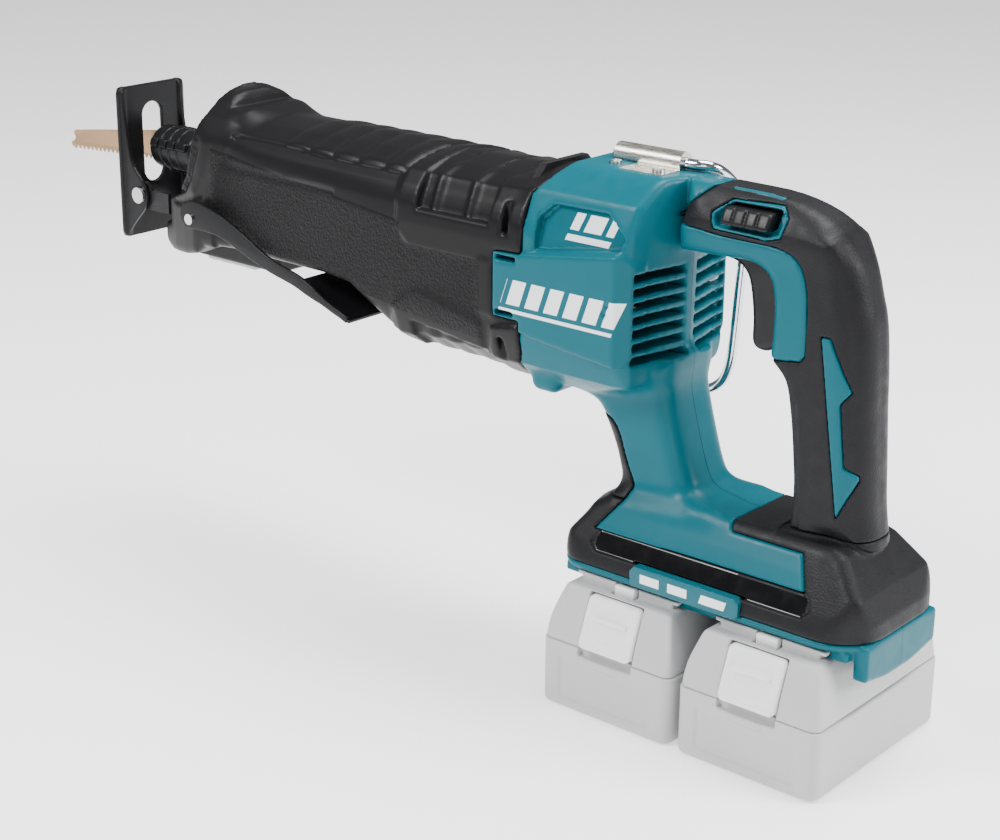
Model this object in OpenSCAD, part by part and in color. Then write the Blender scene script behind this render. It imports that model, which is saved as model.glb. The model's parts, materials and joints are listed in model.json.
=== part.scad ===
// Twin-pack cordless reciprocating saw, built as separate parts.
// -X is forward (blade), +X the handle, -Y the tool's left side, +Z up.
// The origin lies on the standing face, under the middle of the rear battery pack.

/* [Drive] */
// Height of the blade stroke axis above the standing face
rod_z = 222; // [220:1:223]
// Blade stroke, twice the throw of the crank
stroke = 32; // [24:1:32]
// Diameter of the plunger rod
rod_d = 14; // [12:0.5:15]
// Teeth on the crank gear
gear_teeth = 41; // [35:1:44]
// Teeth on the motor pinion
pinion_teeth = 8; // [7:1:9]
// Outer diameter of the stator
stator_d = 60; // [52:1:62]

/* [Blade and shoe] */
// Blade length in front of the clamp
blade_length = 80; // [70:1:150]
// Thickness of the blade
blade_t = 1.2; // [0.9:0.1:1.3]
// Width of the shoe plate
shoe_w = 49; // [46:1:52]
// Height of the shoe plate
shoe_h = 87; // [84:1:90]
// Width of the window in the shoe plate
shoe_slot_w = 15; // [12:0.5:16]

/* [Body] */
// Wall of the plastic housing
wall = 3; // [2.5:0.1:3.2]
// Width of the grip across the hand
grip_w = 35; // [33:1:36]
// Depth of the soft overmould on grip and base
soft_t = 2.4; // [2:0.1:2.6]
// Wire diameter of the hook
hook_wire_d = 5; // [4:0.5:5.4]
// Number of air slots on each side of the motor end
vent_count = 7; // [4:1:7]

/* [Battery packs] */
// Length of one pack across the tool
pack_l = 110; // [106:1:112]
// Width of one pack along the tool
pack_w = 77; // [75:1:77]
// Centre to centre distance of the two packs
pack_pitch = 81; // [80.5:0.5:82]

/* [Hidden] */
$fn = 48;
gap = 0.1;          // between bonded or bolted parts
clear = 0.4;        // between parts that move past each other
far = 300;          // further than any part reaches
mid_x = -pack_pitch / 2;   // plane midway between the packs, seen from the origin
throw = stroke / 2;
gear_x = -170;      // crank gear axis
motor_z = 205;      // motor axis height
yoke_x = gear_x - throw;
pack_top = 62.4;
tongue_z = 64.6;    // underside of the flange on a pack's tongue
tongue_t = 1.8;
base_z = 62.8;      // underside of the base's inner plinth
skirt_z = 66.8;     // low edge of the skirt round it
nose_x = -408;      // front of the clamp sleeve
shoe_x = -417;      // rear face of the shoe plate
shoe_pin = [-405, 197];
lever_pin = [-341, 197];
trigger_pin = [-10, 232];
hook_axis = [5, 264.5];
bracket_screw_x = [-77, -52];
cover_screw_x = [-209, -133];
tooth_pitch = 360 / gear_teeth;
pinion_r = 6;
gear_r = 31;
rod_r = rod_d / 2;
bush_r = rod_r + 3.5;
bush_x = [-313, -246];   // front ends of the two plunger bushes

TEAL = [0.05, 0.50, 0.57];
BLACK = [0.12, 0.12, 0.13];
RUBBER = [0.09, 0.09, 0.10];
STEEL = [0.62, 0.63, 0.65];
ALLOY = [0.72, 0.73, 0.74];
COPPER = [0.72, 0.42, 0.22];
TAN = [0.66, 0.55, 0.41];
PALE = [0.78, 0.78, 0.78];
WHITE = [0.93, 0.93, 0.92];
BRASS = [0.78, 0.65, 0.33];

// ---------- helpers ----------

// A point on a Catmull-Rom curve between b and c.
function blend_point(a, b, c, d, t) =
    0.5 * ((2 * b) + (c - a) * t + (2 * a - 5 * b + 4 * c - d) * t * t
    + (3 * b - a - 3 * c + d) * t * t * t);

// A smooth open curve through the points.
function smooth(p, steps = 3) = [
    for (i = [0 : len(p) - 2])
        for (s = [0 : steps - 1])
            blend_point(p[max(i - 1, 0)], p[i], p[i + 1], p[min(i + 2, len(p) - 1)], s / steps),
    p[len(p) - 1]
];

function reversed(p) = [for (i = [len(p) - 1 : -1 : 0]) p[i]];

// Moves every point away from the centre by d along both axes.
function grown(p, centre, d) = [
    for (q = p) q + d * [sign(q[0] - centre[0]), sign(q[1] - centre[1])]
];

// Mirrors a half outline given on the positive side of its first axis.
function both_sides(p) = concat(p, [for (q = reversed(p)) [-q[0], q[1]]]);

// Extrudes an X-Z outline across the tool, w wide, centred on y.
module side_slab(outline, w, y = 0) {
    translate([0, y + w / 2, 0])
        rotate([90, 0, 0])
            linear_extrude(w)
                polygon(outline);
}

// Extrudes a Y-Z outline along the tool from x0 to x1.
module section_slab(outline, x0, x1) {
    translate([x0, 0, 0])
        rotate([90, 0, 90])
            linear_extrude(x1 - x0)
                polygon(outline);
}

// Extrudes an X-Y outline upward from z0 to z1.
module plan_slab(outline, z0, z1) {
    translate([0, 0, z0])
        linear_extrude(z1 - z0)
            polygon(outline);
}

// Every part is drawn about the plane midway between the packs, then moved to the origin.
module placed() {
    translate([mid_x, 0, 0])
        children();
}

// A box given by its two corners.
module block(low, high) {
    translate(low)
        cube(high - low);
}

// A cylinder along X from x0 to x1.
module x_cyl(x0, x1, r, y = 0, z = rod_z) {
    translate([x0, y, z])
        rotate([0, 90, 0])
            cylinder(h = x1 - x0, r = r);
}

// A cylinder along Y from y0 to y1.
module y_cyl(y0, y1, r, x, z) {
    translate([x, y0, z])
        rotate([-90, 0, 0])
            cylinder(h = y1 - y0, r = r);
}

// A cylinder along Z from z0 to z1.
module z_cyl(z0, z1, r, x = 0, y = 0) {
    translate([x, y, z0])
        cylinder(h = z1 - z0, r = r);
}

module mirrored_y() {
    children();
    mirror([0, 1, 0])
        children();
}

// ---------- housing ----------

// Front and rear edge of the handle from the top arm down to the base, as pairs.
grip_front = [[-34, 229], [-14, 229.5], [5, 230], [15, 225], [18, 213], [18, 198], [17, 188],
    [24, 179], [27, 165], [29.5, 146], [31, 128], [30, 106]];
grip_rear = [[-34, 261], [-14, 261.5], [17, 260.5], [42, 252.5], [56, 237], [62, 220], [65, 208],
    [67, 188], [68, 168], [69.5, 146], [71, 124], [74, 106]];

// The handle outline drawn in by d on both edges.
function grip_outline(d) = concat(
    smooth([for (i = [0 : len(grip_front) - 1])
        grip_front[i] + d * (grip_rear[i] - grip_front[i]) / norm(grip_rear[i] - grip_front[i])]),
    reversed(smooth([for (i = [0 : len(grip_front) - 1])
        grip_rear[i] + d * (grip_front[i] - grip_rear[i])
        / norm(grip_rear[i] - grip_front[i])])));

// Cross-section of the handle arm: a flat top with long side bevels, w wide, drawn in by d.
function arm_section(d) = both_sides([
    [grip_w / 2 + 1.5 - d, 100], [grip_w / 2 + 1.5 - d, 245 - d / 2],
    [9 - d / 2, 261.5 - d]
]);

motor_outline = [[-116.6, 150], [-88, 151], [-60, 157], [-44, 163], [-36, 172], [-35, 223],
    [-35, 233], [-30, 261], [-64, 260], [-100, 259], [-116.6, 258]];
motor_plan = [[-116.6, 42], [-58, 42], [-44, 33], [-40, 20], [-36, 0]];
motor_section = [[20, 149], [34, 159], [42, 178], [42, 229], [34, 248], [20, 262]];

neck_front = [[-86, 152], [-78, 142], [-70, 127], [-65, 112], [-65, 104], [-74, 96]];
neck_rear = [[-34, 176], [-34, 160], [-30, 143], [-23, 121], [-17, 112], [-6, 106]];

base_outline = [[-84, skirt_z], [-84, 73], [-80, 84], [-70, 98], [-60, 104], [-20, 107], [-6, 110],
    [30, 110], [76, 108], [84, 98], [89, 82], [89, 72], [85, skirt_z]];
base_section = [[41, skirt_z], [41, 72], [37, 81], [26, 100], [18, 111]];

// The motor end of the housing, drawn in by d.
module motor_shape(d) {
    intersection() {
        side_slab(grown(motor_outline, [-80, motor_z], -d), 84 - 2 * d);
        plan_slab(
            concat([for (p = motor_plan) p - [d, p[1] > 0 ? d : 0]],
                reversed([for (p = motor_plan) [p[0] - d, -p[1] + (p[1] > 0 ? d : 0)]])),
            140, 270);
        section_slab(both_sides(grown(motor_section, [0, motor_z], -d)), -120, -20);
    }
}

// The handle with its top arm, drawn in by d.
module grip_shape(d) {
    intersection() {
        side_slab(grip_outline(d), grip_w - 2 * d + 3);
        section_slab(arm_section(d), -60, 90);
    }
}

// The neck between motor and base, drawn in by d.
module neck_shape(d) {
    side_slab(concat(
        [for (p = smooth(neck_front)) p + [d, 0]],
        reversed([for (p = smooth(neck_rear)) p - [d, 0]])), 42 - 2 * d);
}

// The base over the packs, drawn in by d.
module base_shape(d) {
    intersection() {
        side_slab(grown(base_outline, [0, 75], -d), 84);
        section_slab(both_sides(grown(base_section, [0, 75], -d)), -90, 92);
    }
}

// The rear flap of the skirt that hangs behind the rear pack.
module rear_flap() {
    block([80.2, -24, 50], [86, 30, skirt_z + 2]);
}

// Everything solid that the two halves share before they are hollowed.
module housing_solid() {
    motor_shape(0);
    neck_shape(0);
    grip_shape(soft_t);
    base_shape(soft_t);
    intersection() {
        base_shape(0);
        block([-far, -far, 0], [far, far, skirt_z + 5]);
    }
    block([-80, -35.2, base_z], [79.8, 36, skirt_z + 1]);
    rear_flap();
}

// T-shaped way for one pack, with room g all round.
module pack_way(x, g) {
    translate([x, 0, 0]) {
        block([-30 - g, -far, tongue_z - g], [30 + g, far, tongue_z + tongue_t + g]);
        block([-27 - g, -far, pack_top - 1], [27 + g, far, tongue_z + 1]);
    }
}

// Air slots on the blunt rear wall of the motor end.
module vents() {
    for (i = [0 : vent_count - 1])
        mirrored_y()
            translate([0, 0, 178 + i * 6.6])
                block([-60, 3, -1.3], [-30, 31, 1.3]);
}

// Room inside the housing.
module housing_hollow() {
    // Motor chamber
    section_slab(both_sides(grown(motor_section, [0, motor_z], -wall - 1)), -far, -56);
    section_slab(both_sides([[20, 172], [28, 180], [28, 228], [20, 236]]), -60, -46);
    x_cyl(-60, -43.6, 11.5, 0, motor_z);
    // Neck and base chamber
    side_slab(concat([for (p = neck_front) p + [wall + 4, 0]],
        reversed([for (p = neck_rear) p - [wall + 1, 0]])), 30);
    block([-74, -31, 72], [78, 31, 82]);
    block([-52, -20, 81], [66, 20, 100]);
    // Grip chamber
    intersection() {
        side_slab(grip_outline(soft_t + wall + 1), 24);
        block([-far, -far, 90], [far, far, 256.5]);
    }
    block([-18, -9.2, 186.5], [28, 9.2, 236]);
    // Terminal blocks reach through the floor
    for (x = [-1, 1] * pack_pitch / 2) {
        block([x - 22.2, 15.8, 60], [x + 22.2, 31.2, 73]);
        pack_way(x, clear);
    }
}

// Slot across the arm for the lock-off bar.
module lock_off_way() {
    block([-9.4, -far, 248], [16.4, far, 256.4]);
}

// Screw seats, all from the right side.
screw_spots = [[-104, 246], [-104, 162], [-64.5, 248], [-46, 166], [48, 236], [52, 150], [42, 96],
    [-66, 92]];

module housing_shape() {
    difference() {
        housing_solid();
        housing_hollow();
        vents();
        lock_off_way();
        neck_bumper_shape(gap);
        badge_shape(gap);
        y_cyl(-11, 11, 2.05, trigger_pin[0], trigger_pin[1]);
        hook_bracket_shape(gap);
        bracket_screw_holes();
        screw_holes();
    }
    screw_posts();
    motor_cradle();
}

// Posts that the housing screws run through, heads sunk into the right side.
module screw_posts() {
    difference() {
        intersection() {
            for (p = screw_spots)
                y_cyl(-far, far, 5.4, p[0], p[1]);
            housing_solid();
        }
        screw_holes();
        bracket_screw_holes();
    }
}

module bracket_screw_holes() {
    for (x = bracket_screw_x)
        z_cyl(250, 262, 1.65, x, -8);
}

module screw_holes() {
    for (p = screw_spots) {
        y_cyl(-8, 10, 2.1, p[0], p[1]);
        y_cyl(10, far, 4, p[0], p[1]);
    }
}

// Ring inside the motor end that holds the stator.
module motor_cradle() {
    difference() {
        intersection() {
            motor_shape(1);
            block([-92, -far, 0], [-80, far, far]);
        }
        x_cyl(-93, -79, stator_d / 2 + 0.05, 0, motor_z);
    }
}

module housing_left() {
    color(TEAL)
    placed()
        intersection() {
            housing_shape();
            block([-far, -far, 0], [far, -gap / 2, far]);
        }
}

module housing_right() {
    color(TEAL)
    placed()
        intersection() {
            housing_shape();
            block([-far, gap / 2, 0], [far, far, far]);
        }
}

module grip_overmold() {
    color(BLACK)
    placed()
        difference() {
            grip_shape(0);
            grip_shape(soft_t - gap);
            block([-far, -far, 0], [far, far, 110.2]);
            // The throat round the trigger stays bare plastic
            block([-far, -far, 184], [19.5, far, 239]);
            block([-far, -10, 184], [25, 10, 239]);
            lock_off_way();
            motor_shape(-gap);
            insert_shape(gap);
            hook_bracket_shape(gap);
        }
}

module base_overmold() {
    color(BLACK)
    placed()
        difference() {
            base_shape(0);
            base_shape(soft_t - gap);
            block([-far, -far, 0], [far, far, skirt_z + 5 + gap]);
            block([-far, -far, 104], [far, far, far]);
            grip_shape(-gap);
            neck_shape(-gap);
            badge_shape(gap);
            neck_bumper_shape(gap);
        }
}

// The black bumper down the front of the neck; g is the room left round it.
module neck_bumper_shape(g) {
    side_slab(concat([for (p = neck_front) p - [g + 1, 0]],
        reversed([for (p = neck_front) p + [3 + g, 0]])), 26 + 2 * g);
}

module neck_bumper() {
    color(BLACK)
    placed()
        difference() {
            neck_bumper_shape(0);
            block([-far, -far, 143], [far, far, far]);
            block([-far, -far, 0], [far, far, 105]);
        }
}

// Barbed side inserts of the grip; g is the room left round them.
insert_outline = [[45, 204], [50, 204], [61, 181], [56.5, 175], [60, 146], [67, 142], [58, 121]];

module insert_shape(g) {
    mirrored_y()
        for (dx = [-g, g], dz = [-g, g])
            translate([dx, 0, dz])
                side_slab(insert_outline, 1.8 + g, grip_w / 2 + 0.6);
}

module grip_inserts() {
    color(TEAL)
    placed()
        difference() {
            insert_shape(0);
            block([-far, -far, 0], [far, -grip_w / 2 - 1.5, far]);
            block([-far, grip_w / 2 + 1.5, 0], [far, far, far]);
        }
}

// Plain plate on the left side of the base.
module badge_shape(g) {
    block([-33 - g, -42, 70 - g], [25 + g, -38 + g, 79 + g]);
}

module badge_plate() {
    color(TEAL)
    placed()
        intersection() {
            badge_shape(0);
            block([-far, -41.4, 0], [far, far, far]);
        }
}

module housing_screws() {
    color(STEEL)
    placed()
        for (p = screw_spots) {
            y_cyl(-7, 10.2, 2, p[0], p[1]);
            y_cyl(10.1, 12.2, 3.6, p[0], p[1]);
        }
}

// ---------- boot and gear housing ----------

boot_outline = [[-117.3, 148], [-136, 148], [-180, 157], [-197, 164], [-208, 171.5],
    [-226, 181], [-262, 181.5], [-300, 179], [-346, 174], [-372, 170], [-385, 173],
    [-391, 181], [-391, 190], [-385, 200], [-363, 208.5], [-355, 217], [-347, 240],
    [-341, 260], [-332, 266], [-320, 265], [-308, 258], [-222, 258.5], [-117.3, 257.5]];
boot_plan = [[-117, 41.5], [-190, 42], [-294, 38], [-326, 35.5], [-336, 37], [-346, 36],
    [-358, 33], [-370, 29], [-384, 24], [-391, 14]];
boot_section = [[24, 147], [37, 164], [42, 182], [42, 233], [35, 249], [22, 258], [14, 267]];
case_outline = [[-117.1, 152], [-136, 152], [-180, 161], [-197, 168], [-208, 175.5],
    [-226, 185], [-262, 185.3], [-300, 183], [-370, 180],
    [-372, 188], [-364, 200], [-350, 210], [-344, 222], [-338, 242], [-334, 252],
    [-222, 254.5], [-117.1, 253.5]];
case_plan = [[-117.1, 38], [-190, 38], [-294, 34], [-326, 31.5], [-346, 31.5], [-358, 29],
    [-372, 24.5]];
case_section = [[22, 150], [33, 166], [38, 184], [38, 231], [32, 246], [20, 256]];

// The gear housing's outer form, grown by d.
module case_shape(d) {
    intersection() {
        side_slab(grown(case_outline, [-250, 210], d), 80);
        plan_slab(concat([for (p = case_plan) p + [0, d]],
            reversed([for (p = case_plan) [p[0], -p[1] - d]])), 140, 270);
        section_slab(both_sides(grown(case_section, [0, 205], d)), -380, -110);
    }
}

module rubber_boot() {
    color(RUBBER)
    placed()
        difference() {
            intersection() {
                side_slab(boot_outline, 86);
                plan_slab(concat(boot_plan, reversed([for (p = boot_plan) [p[0], -p[1]]])),
                    140, 270);
                section_slab(both_sides(boot_section), -410, -110);
            }
            case_shape(gap);
            // Mouth for the nose and the shoe arm
            block([-far - 150, -26.5, 190], [-340, 26.5, 246]);
            // Way for the clamp sleeve as it strokes back
            block([-far - 150, -25, 203], [-330, 25, 243]);
            // Room for the shoe arm under the nose
            block([-420, -26.5, 183], [-360, 26.5, 200]);
            lamp_shape(gap);
            lever_pin_holes();
        }
}

module lever_pin_holes() {
    y_cyl(-50, 50, 3.1, lever_pin[0], lever_pin[1]);
}

module gear_housing() {
    color(ALLOY)
    placed()
        difference() {
            case_shape(0);
            // Tunnel and bores on the stroke axis
            x_cyl(-380, -322, 17.5);
            block([-380, -25, 203], [-330, 25, 243]);
            x_cyl(-322.1, -200, rod_r + 0.8);
            for (x = bush_x)
                x_cyl(x, x + 18, bush_r + 0.02);
            x_cyl(-322.2, -313, bush_r + 2.02);
            // Light space between the bushes
            block([-292, -28, 198], [-250, 28, 246]);
            // Yoke and gear chambers
            block([-220, -33, 186], [-131, 33, 238]);
            // Light space under the gear, round the bearing tube
            difference() {
                side_slab([[-200, 180], [-190, 172], [-176, 165.5], [-140, 158], [-126, 158],
                    [-126, 183], [-200, 183]], 44);
                z_cyl(150, 190, 14.5, gear_x);
            }
            z_cyl(163, 171, 11.01, gear_x);
            z_cyl(175, 184, 9.01, gear_x);
            z_cyl(162, 186, 7, gear_x);
            // Pinion way and motor bearing seat
            x_cyl(-150, -110, pinion_r + 1.5, 0, motor_z);
            x_cyl(-128, -110, 10.01, 0, motor_z);
            // Cover opening
            block([-204, -26, 230], [-138, 26, 270]);
            block([-214, -29, 244], [-128, 29, 270]);
            for (x = cover_screw_x, y = [-14, 14])
                z_cyl(238.5, 245, 1.65, x, y);
            // Shoe arm pocket
            block([-380, -18.4, 188.1], [-256, 18.4, 192.4]);
            y_cyl(-50, 50, 3.01, lever_pin[0], lever_pin[1]);
            lamp_shape(gap);
        }
}

module gear_cover() {
    color(ALLOY)
    placed()
        difference() {
            block([-213.9, -28.9, 244.1], [-128.1, 28.9, 248]);
            for (x = cover_screw_x, y = [-14, 14])
                z_cyl(240, 250, 1.7, x, y);
        }
}

module cover_screws() {
    color(STEEL)
    placed()
        for (x = cover_screw_x, y = [-14, 14]) {
            z_cyl(238.7, 248.2, 1.6, x, y);
            z_cyl(248.1, 250, 2.8, x, y);
        }
}

module front_seal() {
    color(RUBBER)
    placed()
        difference() {
            x_cyl(-321, -313.1, bush_r + 2);
            x_cyl(-325, -310, rod_r + 0.35);
        }
}

module rod_bushes() {
    color(BRASS)
    placed()
        for (x = bush_x)
            difference() {
                x_cyl(x, x + 18, bush_r);
                x_cyl(x - 1, x + 19, rod_r + 0.04);
            }
}

// A plain bearing ring along Z.
module z_ring(z0, z1, outer, inner) {
    difference() {
        z_cyl(z0, z1, outer, gear_x);
        z_cyl(z0 - 1, z1 + 1, inner, gear_x);
    }
}

module gear_bearings() {
    color(STEEL)
    placed() {
        z_ring(163.2, 170.2, 11, 5.03);
        z_ring(175.2, 183.8, 9, 6.03);
    }
}

module motor_bearings() {
    color(STEEL)
    placed()
        for (x = [-127.5, -52])
            difference() {
                x_cyl(x, x + 7, 10, 0, motor_z);
                x_cyl(x - 1, x + 8, 4.03, 0, motor_z);
            }
}

// ---------- motor ----------

module motor_baffle() {
    color(BLACK)
    placed() {
        difference() {
            section_slab(both_sides(grown(motor_section, [0, motor_z], -wall - 1.2)),
                -115.6, -111.6);
            x_cyl(-120, -110, 13, 0, motor_z);
        }
        // Rear bearing bridge
        difference() {
            block([-51.5, -27.8, 190], [-46.5, 27.8, 220]);
            x_cyl(-60, -44, 10.02, 0, motor_z);
        }
    }
}

module stator_core() {
    color(STEEL)
    placed()
        difference() {
            x_cyl(-100, -72, stator_d / 2, 0, motor_z);
            x_cyl(-101, -71, 15.2, 0, motor_z);
            for (a = [0 : 60 : 300])
                translate([0, 0, motor_z])
                    rotate([a, 0, 0])
                        translate([0, 0, -motor_z])
                            block([-101, -8, motor_z + 17], [-71, 8, motor_z + 25]);
        }
}

module stator_coils() {
    color(COPPER)
    placed()
        for (a = [0 : 60 : 300])
            translate([0, 0, motor_z])
                rotate([a, 0, 0])
                    translate([0, 0, -motor_z])
                        block([-104, -7.6, motor_z + 17.4], [-68, 7.6, motor_z + 24.6]);
}

module sensor_board() {
    color([0.1, 0.35, 0.2])
    placed()
        difference() {
            x_cyl(-107, -105.4, 27, 0, motor_z);
            x_cyl(-108, -105, 12, 0, motor_z);
        }
}

module rotor_shaft() {
    color(STEEL)
    placed() {
        x_cyl(-134, -44.5, 4, 0, motor_z);
        x_cyl(-145.5, -134, 4.6, 0, motor_z);
        for (i = [0 : pinion_teeth - 1])
            translate([-145.5, 0, motor_z])
                rotate([i * 360 / pinion_teeth, 0, 0])
                    translate([0, -0.9, 4])
                        cube([11.5, 1.8, pinion_r - 4]);
    }
}

module rotor_core() {
    color(STEEL)
    placed()
        difference() {
            x_cyl(-99, -73, 11.4, 0, motor_z);
            x_cyl(-100, -72, 4.02, 0, motor_z);
        }
}

module rotor_magnets() {
    color([0.3, 0.3, 0.32])
    placed()
        for (a = [0 : 90 : 270])
            translate([0, 0, motor_z])
                rotate([a, 0, 0])
                    translate([0, 0, -motor_z])
                        difference() {
                            intersection() {
                                x_cyl(-98.5, -73.5, 14.6, 0, motor_z);
                                block([-99, -8, motor_z], [-73, 8, motor_z + 15]);
                            }
                            x_cyl(-99, -73, 11.5, 0, motor_z);
                        }
}

module cooling_fan() {
    color(BLACK)
    placed() {
        difference() {
            x_cyl(-66, -64, 26, 0, motor_z);
            x_cyl(-67, -63, 4.05, 0, motor_z);
        }
        difference() {
            x_cyl(-64.5, -56, 8, 0, motor_z);
            x_cyl(-67, -55, 4.05, 0, motor_z);
        }
        for (i = [0 : 10])
            translate([0, 0, motor_z])
                rotate([i * 360 / 11, 0, 0])
                    translate([-64.5, -0.7, 7])
                        cube([6.5, 1.4, 18]);
    }
}

// ---------- crank and plunger ----------

module crank_gear() {
    color(STEEL)
    placed() {
        z_cyl(164, 188, 5, gear_x);
        z_cyl(174, 188, 6, gear_x);
        difference() {
            z_cyl(188, 198.5, gear_r, gear_x);
            for (i = [0 : gear_teeth - 1])
                translate([gear_x, 0, 196.5])
                    rotate([0, 0, i * tooth_pitch])
                        translate([23.5, -0.9, 0])
                            cube([10, 1.8, 5]);
        }
        z_cyl(198, 214.7, 3.5, yoke_x);
    }
}

module crank_roller() {
    color(STEEL)
    placed()
        difference() {
            z_cyl(202, 214.5, 5.5, yoke_x);
            z_cyl(201, 217, 3.54, yoke_x);
        }
}

module plunger_rod() {
    color(STEEL)
    placed() {
        x_cyl(-372, yoke_x - 10, rod_r);
        difference() {
            block([yoke_x - 11, -27, rod_z - 6], [yoke_x + 10, 27, rod_z + 6]);
            block([yoke_x - 5.8, -23, rod_z - 7], [yoke_x + 5.8, 23, rod_z + 7]);
        }
    }
}

module clamp_body() {
    color(STEEL)
    placed()
        difference() {
            x_cyl(-404, -372.1, 8);
            // Blade slit
            block([-410, -blade_t / 2 - 0.1, rod_z - 7], [-376, blade_t / 2 + 0.1, rod_z + 7]);
            y_cyl(-10, 10, 1.95, -386, rod_z);
        }
}

// The blade's outline, tang to the right, teeth along the falling lower edge.
tooth_count = 22;
blade_tip = -412 - blade_length;
blade_outline = concat(
    [[-379, 6.4], [-409, 6.4], [-412, 8.4], [blade_tip + 3, -2.4], [blade_tip, -4.4],
        [blade_tip + 3, -8], [blade_tip, -11.5]],
    [for (i = [0 : tooth_count - 1], s = [0, 1])
        let (t = (i + (s == 1 ? 0.8 : 0)) / tooth_count)
            [blade_tip + 4 + t * (blade_length - 6),
                -13.6 + 4.4 * t + (s == 1 ? 1.9 : 0)]],
    [[-412, -9], [-409, -6.4], [-379, -6.4]]);

module blade() {
    color(TAN)
    placed()
        difference() {
            translate([0, 0, rod_z])
                side_slab(blade_outline, blade_t);
            y_cyl(-5, 5, 1.95, -386, rod_z);
        }
}

module blade_lock_pin() {
    color(STEEL)
    placed()
        y_cyl(-7.6, 7.6, 1.9, -386, rod_z);
}

module clamp_sleeve() {
    color(BLACK)
    placed()
        difference() {
            union() {
                x_cyl(nose_x, -372.5, 12.3);
                for (a = [0 : 120 : 240])
                    translate([0, 0, rod_z])
                        rotate([a + 70, 0, 0])
                            translate([nose_x + 3, -2.5, 11])
                                cube([30, 5, 3.6]);
            }
            x_cyl(-404.5, -372, 8.35);
            block([nose_x - 1, -1.6, rod_z - 10], [-404, 1.6, rod_z + 10]);
            x_cyl(nose_x - 1, -404, 8.35);
        }
}

module clamp_spring() {
    color(STEEL)
    placed()
        for (i = [0 : 3])
            difference() {
                x_cyl(-371.6 + i * 3, -370 + i * 3, 10.4);
                x_cyl(-372.6 + i * 3, -369 + i * 3, rod_r + 1);
            }
}

// ---------- shoe and lever ----------

module shoe_arm() {
    color(BLACK)
    placed() {
        difference() {
            block([-396, -18, 188.5], [-300, 18, 192]);
            for (i = [0 : 4])
                y_cyl(-5, 5, 2, -322 + i * 5, 188);
        }
        mirrored_y()
            difference() {
                union() {
                    block([-404, 17.2, 188.5], [-384, 19.6, 200]);
                    y_cyl(17.2, 19.6, 7, shoe_pin[0], shoe_pin[1]);
                }
                y_cyl(10, 30, 3.05, shoe_pin[0], shoe_pin[1]);
            }
    }
}

module shoe_rivets() {
    color(STEEL)
    placed()
        mirrored_y() {
            y_cyl(15.6, 17.1, 4.4, shoe_pin[0], shoe_pin[1]);
            y_cyl(15.6, 23, 3, shoe_pin[0], shoe_pin[1]);
            y_cyl(22.8, 24.6, 4.6, shoe_pin[0], shoe_pin[1]);
        }
}

shoe_top = 257;
flange_outline = [[shoe_x - 3, shoe_top - 4], [shoe_x, shoe_top - 6], [shoe_x + 2, 240],
    [shoe_x + 6, 216], [shoe_x + 14, 205], [shoe_x + 18, 197], [shoe_x + 14, 188],
    [shoe_x + 6, 180], [shoe_x, 174], [shoe_x - 3, 172]];

module shoe_plate() {
    color(BLACK)
    placed() {
        difference() {
            block([shoe_x - 3, -shoe_w / 2, shoe_top - shoe_h], [shoe_x, shoe_w / 2, shoe_top]);
            block([shoe_x - 4, -shoe_slot_w / 2, 203], [shoe_x + 1, shoe_slot_w / 2, 239]);
            translate([shoe_x - 4, 0, 239])
                rotate([0, 90, 0])
                    cylinder(h = 5, r = shoe_slot_w / 2);
        }
        mirrored_y()
            difference() {
                side_slab(flange_outline, 2.4, 21.3);
                y_cyl(15, 30, 3.05, shoe_pin[0], shoe_pin[1]);
            }
    }
}

// Swept lever arm outline from the pivot down to the web.
lever_arm = [[-349, 200], [-341, 206], [-332, 205.5], [-316, 202], [-288, 190], [-259, 181],
    [-250, 177], [-222, 165], [-222, 160.5], [-236, 164.6], [-262, 173.5], [-288, 180],
    [-330, 191], [-346, 191]];
lever_web = [[-262, 173.5], [-238, 165.2], [-228, 161.8], [-222, 160.5], [-222, 162.5],
    [-228, 163.8], [-238, 167.2], [-262, 175.5]];

module shoe_lever() {
    color(BLACK)
    placed() {
        mirrored_y()
            difference() {
                side_slab(lever_arm, 1.8, 40.7);
                y_cyl(30, 50, 3.06, lever_pin[0], lever_pin[1]);
            }
        side_slab(lever_web, 82);
    }
}

module lever_pins() {
    color(STEEL)
    placed()
        mirrored_y()
            y_cyl(24, 42.8, 3, lever_pin[0], lever_pin[1]);
}

// ---------- lamp ----------

module lamp_shape(g) {
    block([-366 - g, -15 - g, 164 - g], [-300 + g, 15 + g, 181 + g]);
}

module lamp_housing() {
    color(BLACK)
    placed()
        difference() {
            block([-366, -15, 168], [-300, 15, 181]);
            block([-362, -12, 166], [-322, 12, 177]);
        }
}

module lamp_lens() {
    color([0.55, 0.56, 0.58])
    placed()
        difference() {
            block([-361.8, -11.8, 165.5], [-322.2, 11.8, 170]);
            block([-358, -8, 168.5], [-326, 8, 171]);
        }
}

// ---------- handle controls ----------

trigger_outline = [[-15.5, 228], [-14, 235.2], [-8, 235.2], [6, 233.2], [20, 229], [21.5, 214],
    [20, 196], [13, 189.5], [5, 189], [3, 200], [1, 214], [-1, 222], [-6, 226.6]];

module trigger() {
    color(BLACK)
    placed()
        difference() {
            side_slab(trigger_outline, 17);
            y_cyl(-20, 20, 2.05, trigger_pin[0], trigger_pin[1]);
        }
}

module trigger_pin_rod() {
    color(STEEL)
    placed()
        y_cyl(-10.8, 10.8, 2, trigger_pin[0], trigger_pin[1]);
}

module trigger_spring() {
    color(STEEL)
    placed()
        for (i = [0 : 2])
            difference() {
                x_cyl(23.2 + i * 2.2, 24.4 + i * 2.2, 3.6, 0, 204);
                x_cyl(22 + i * 2.2, 26 + i * 2.2, 2.4, 0, 204);
            }
}

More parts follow.
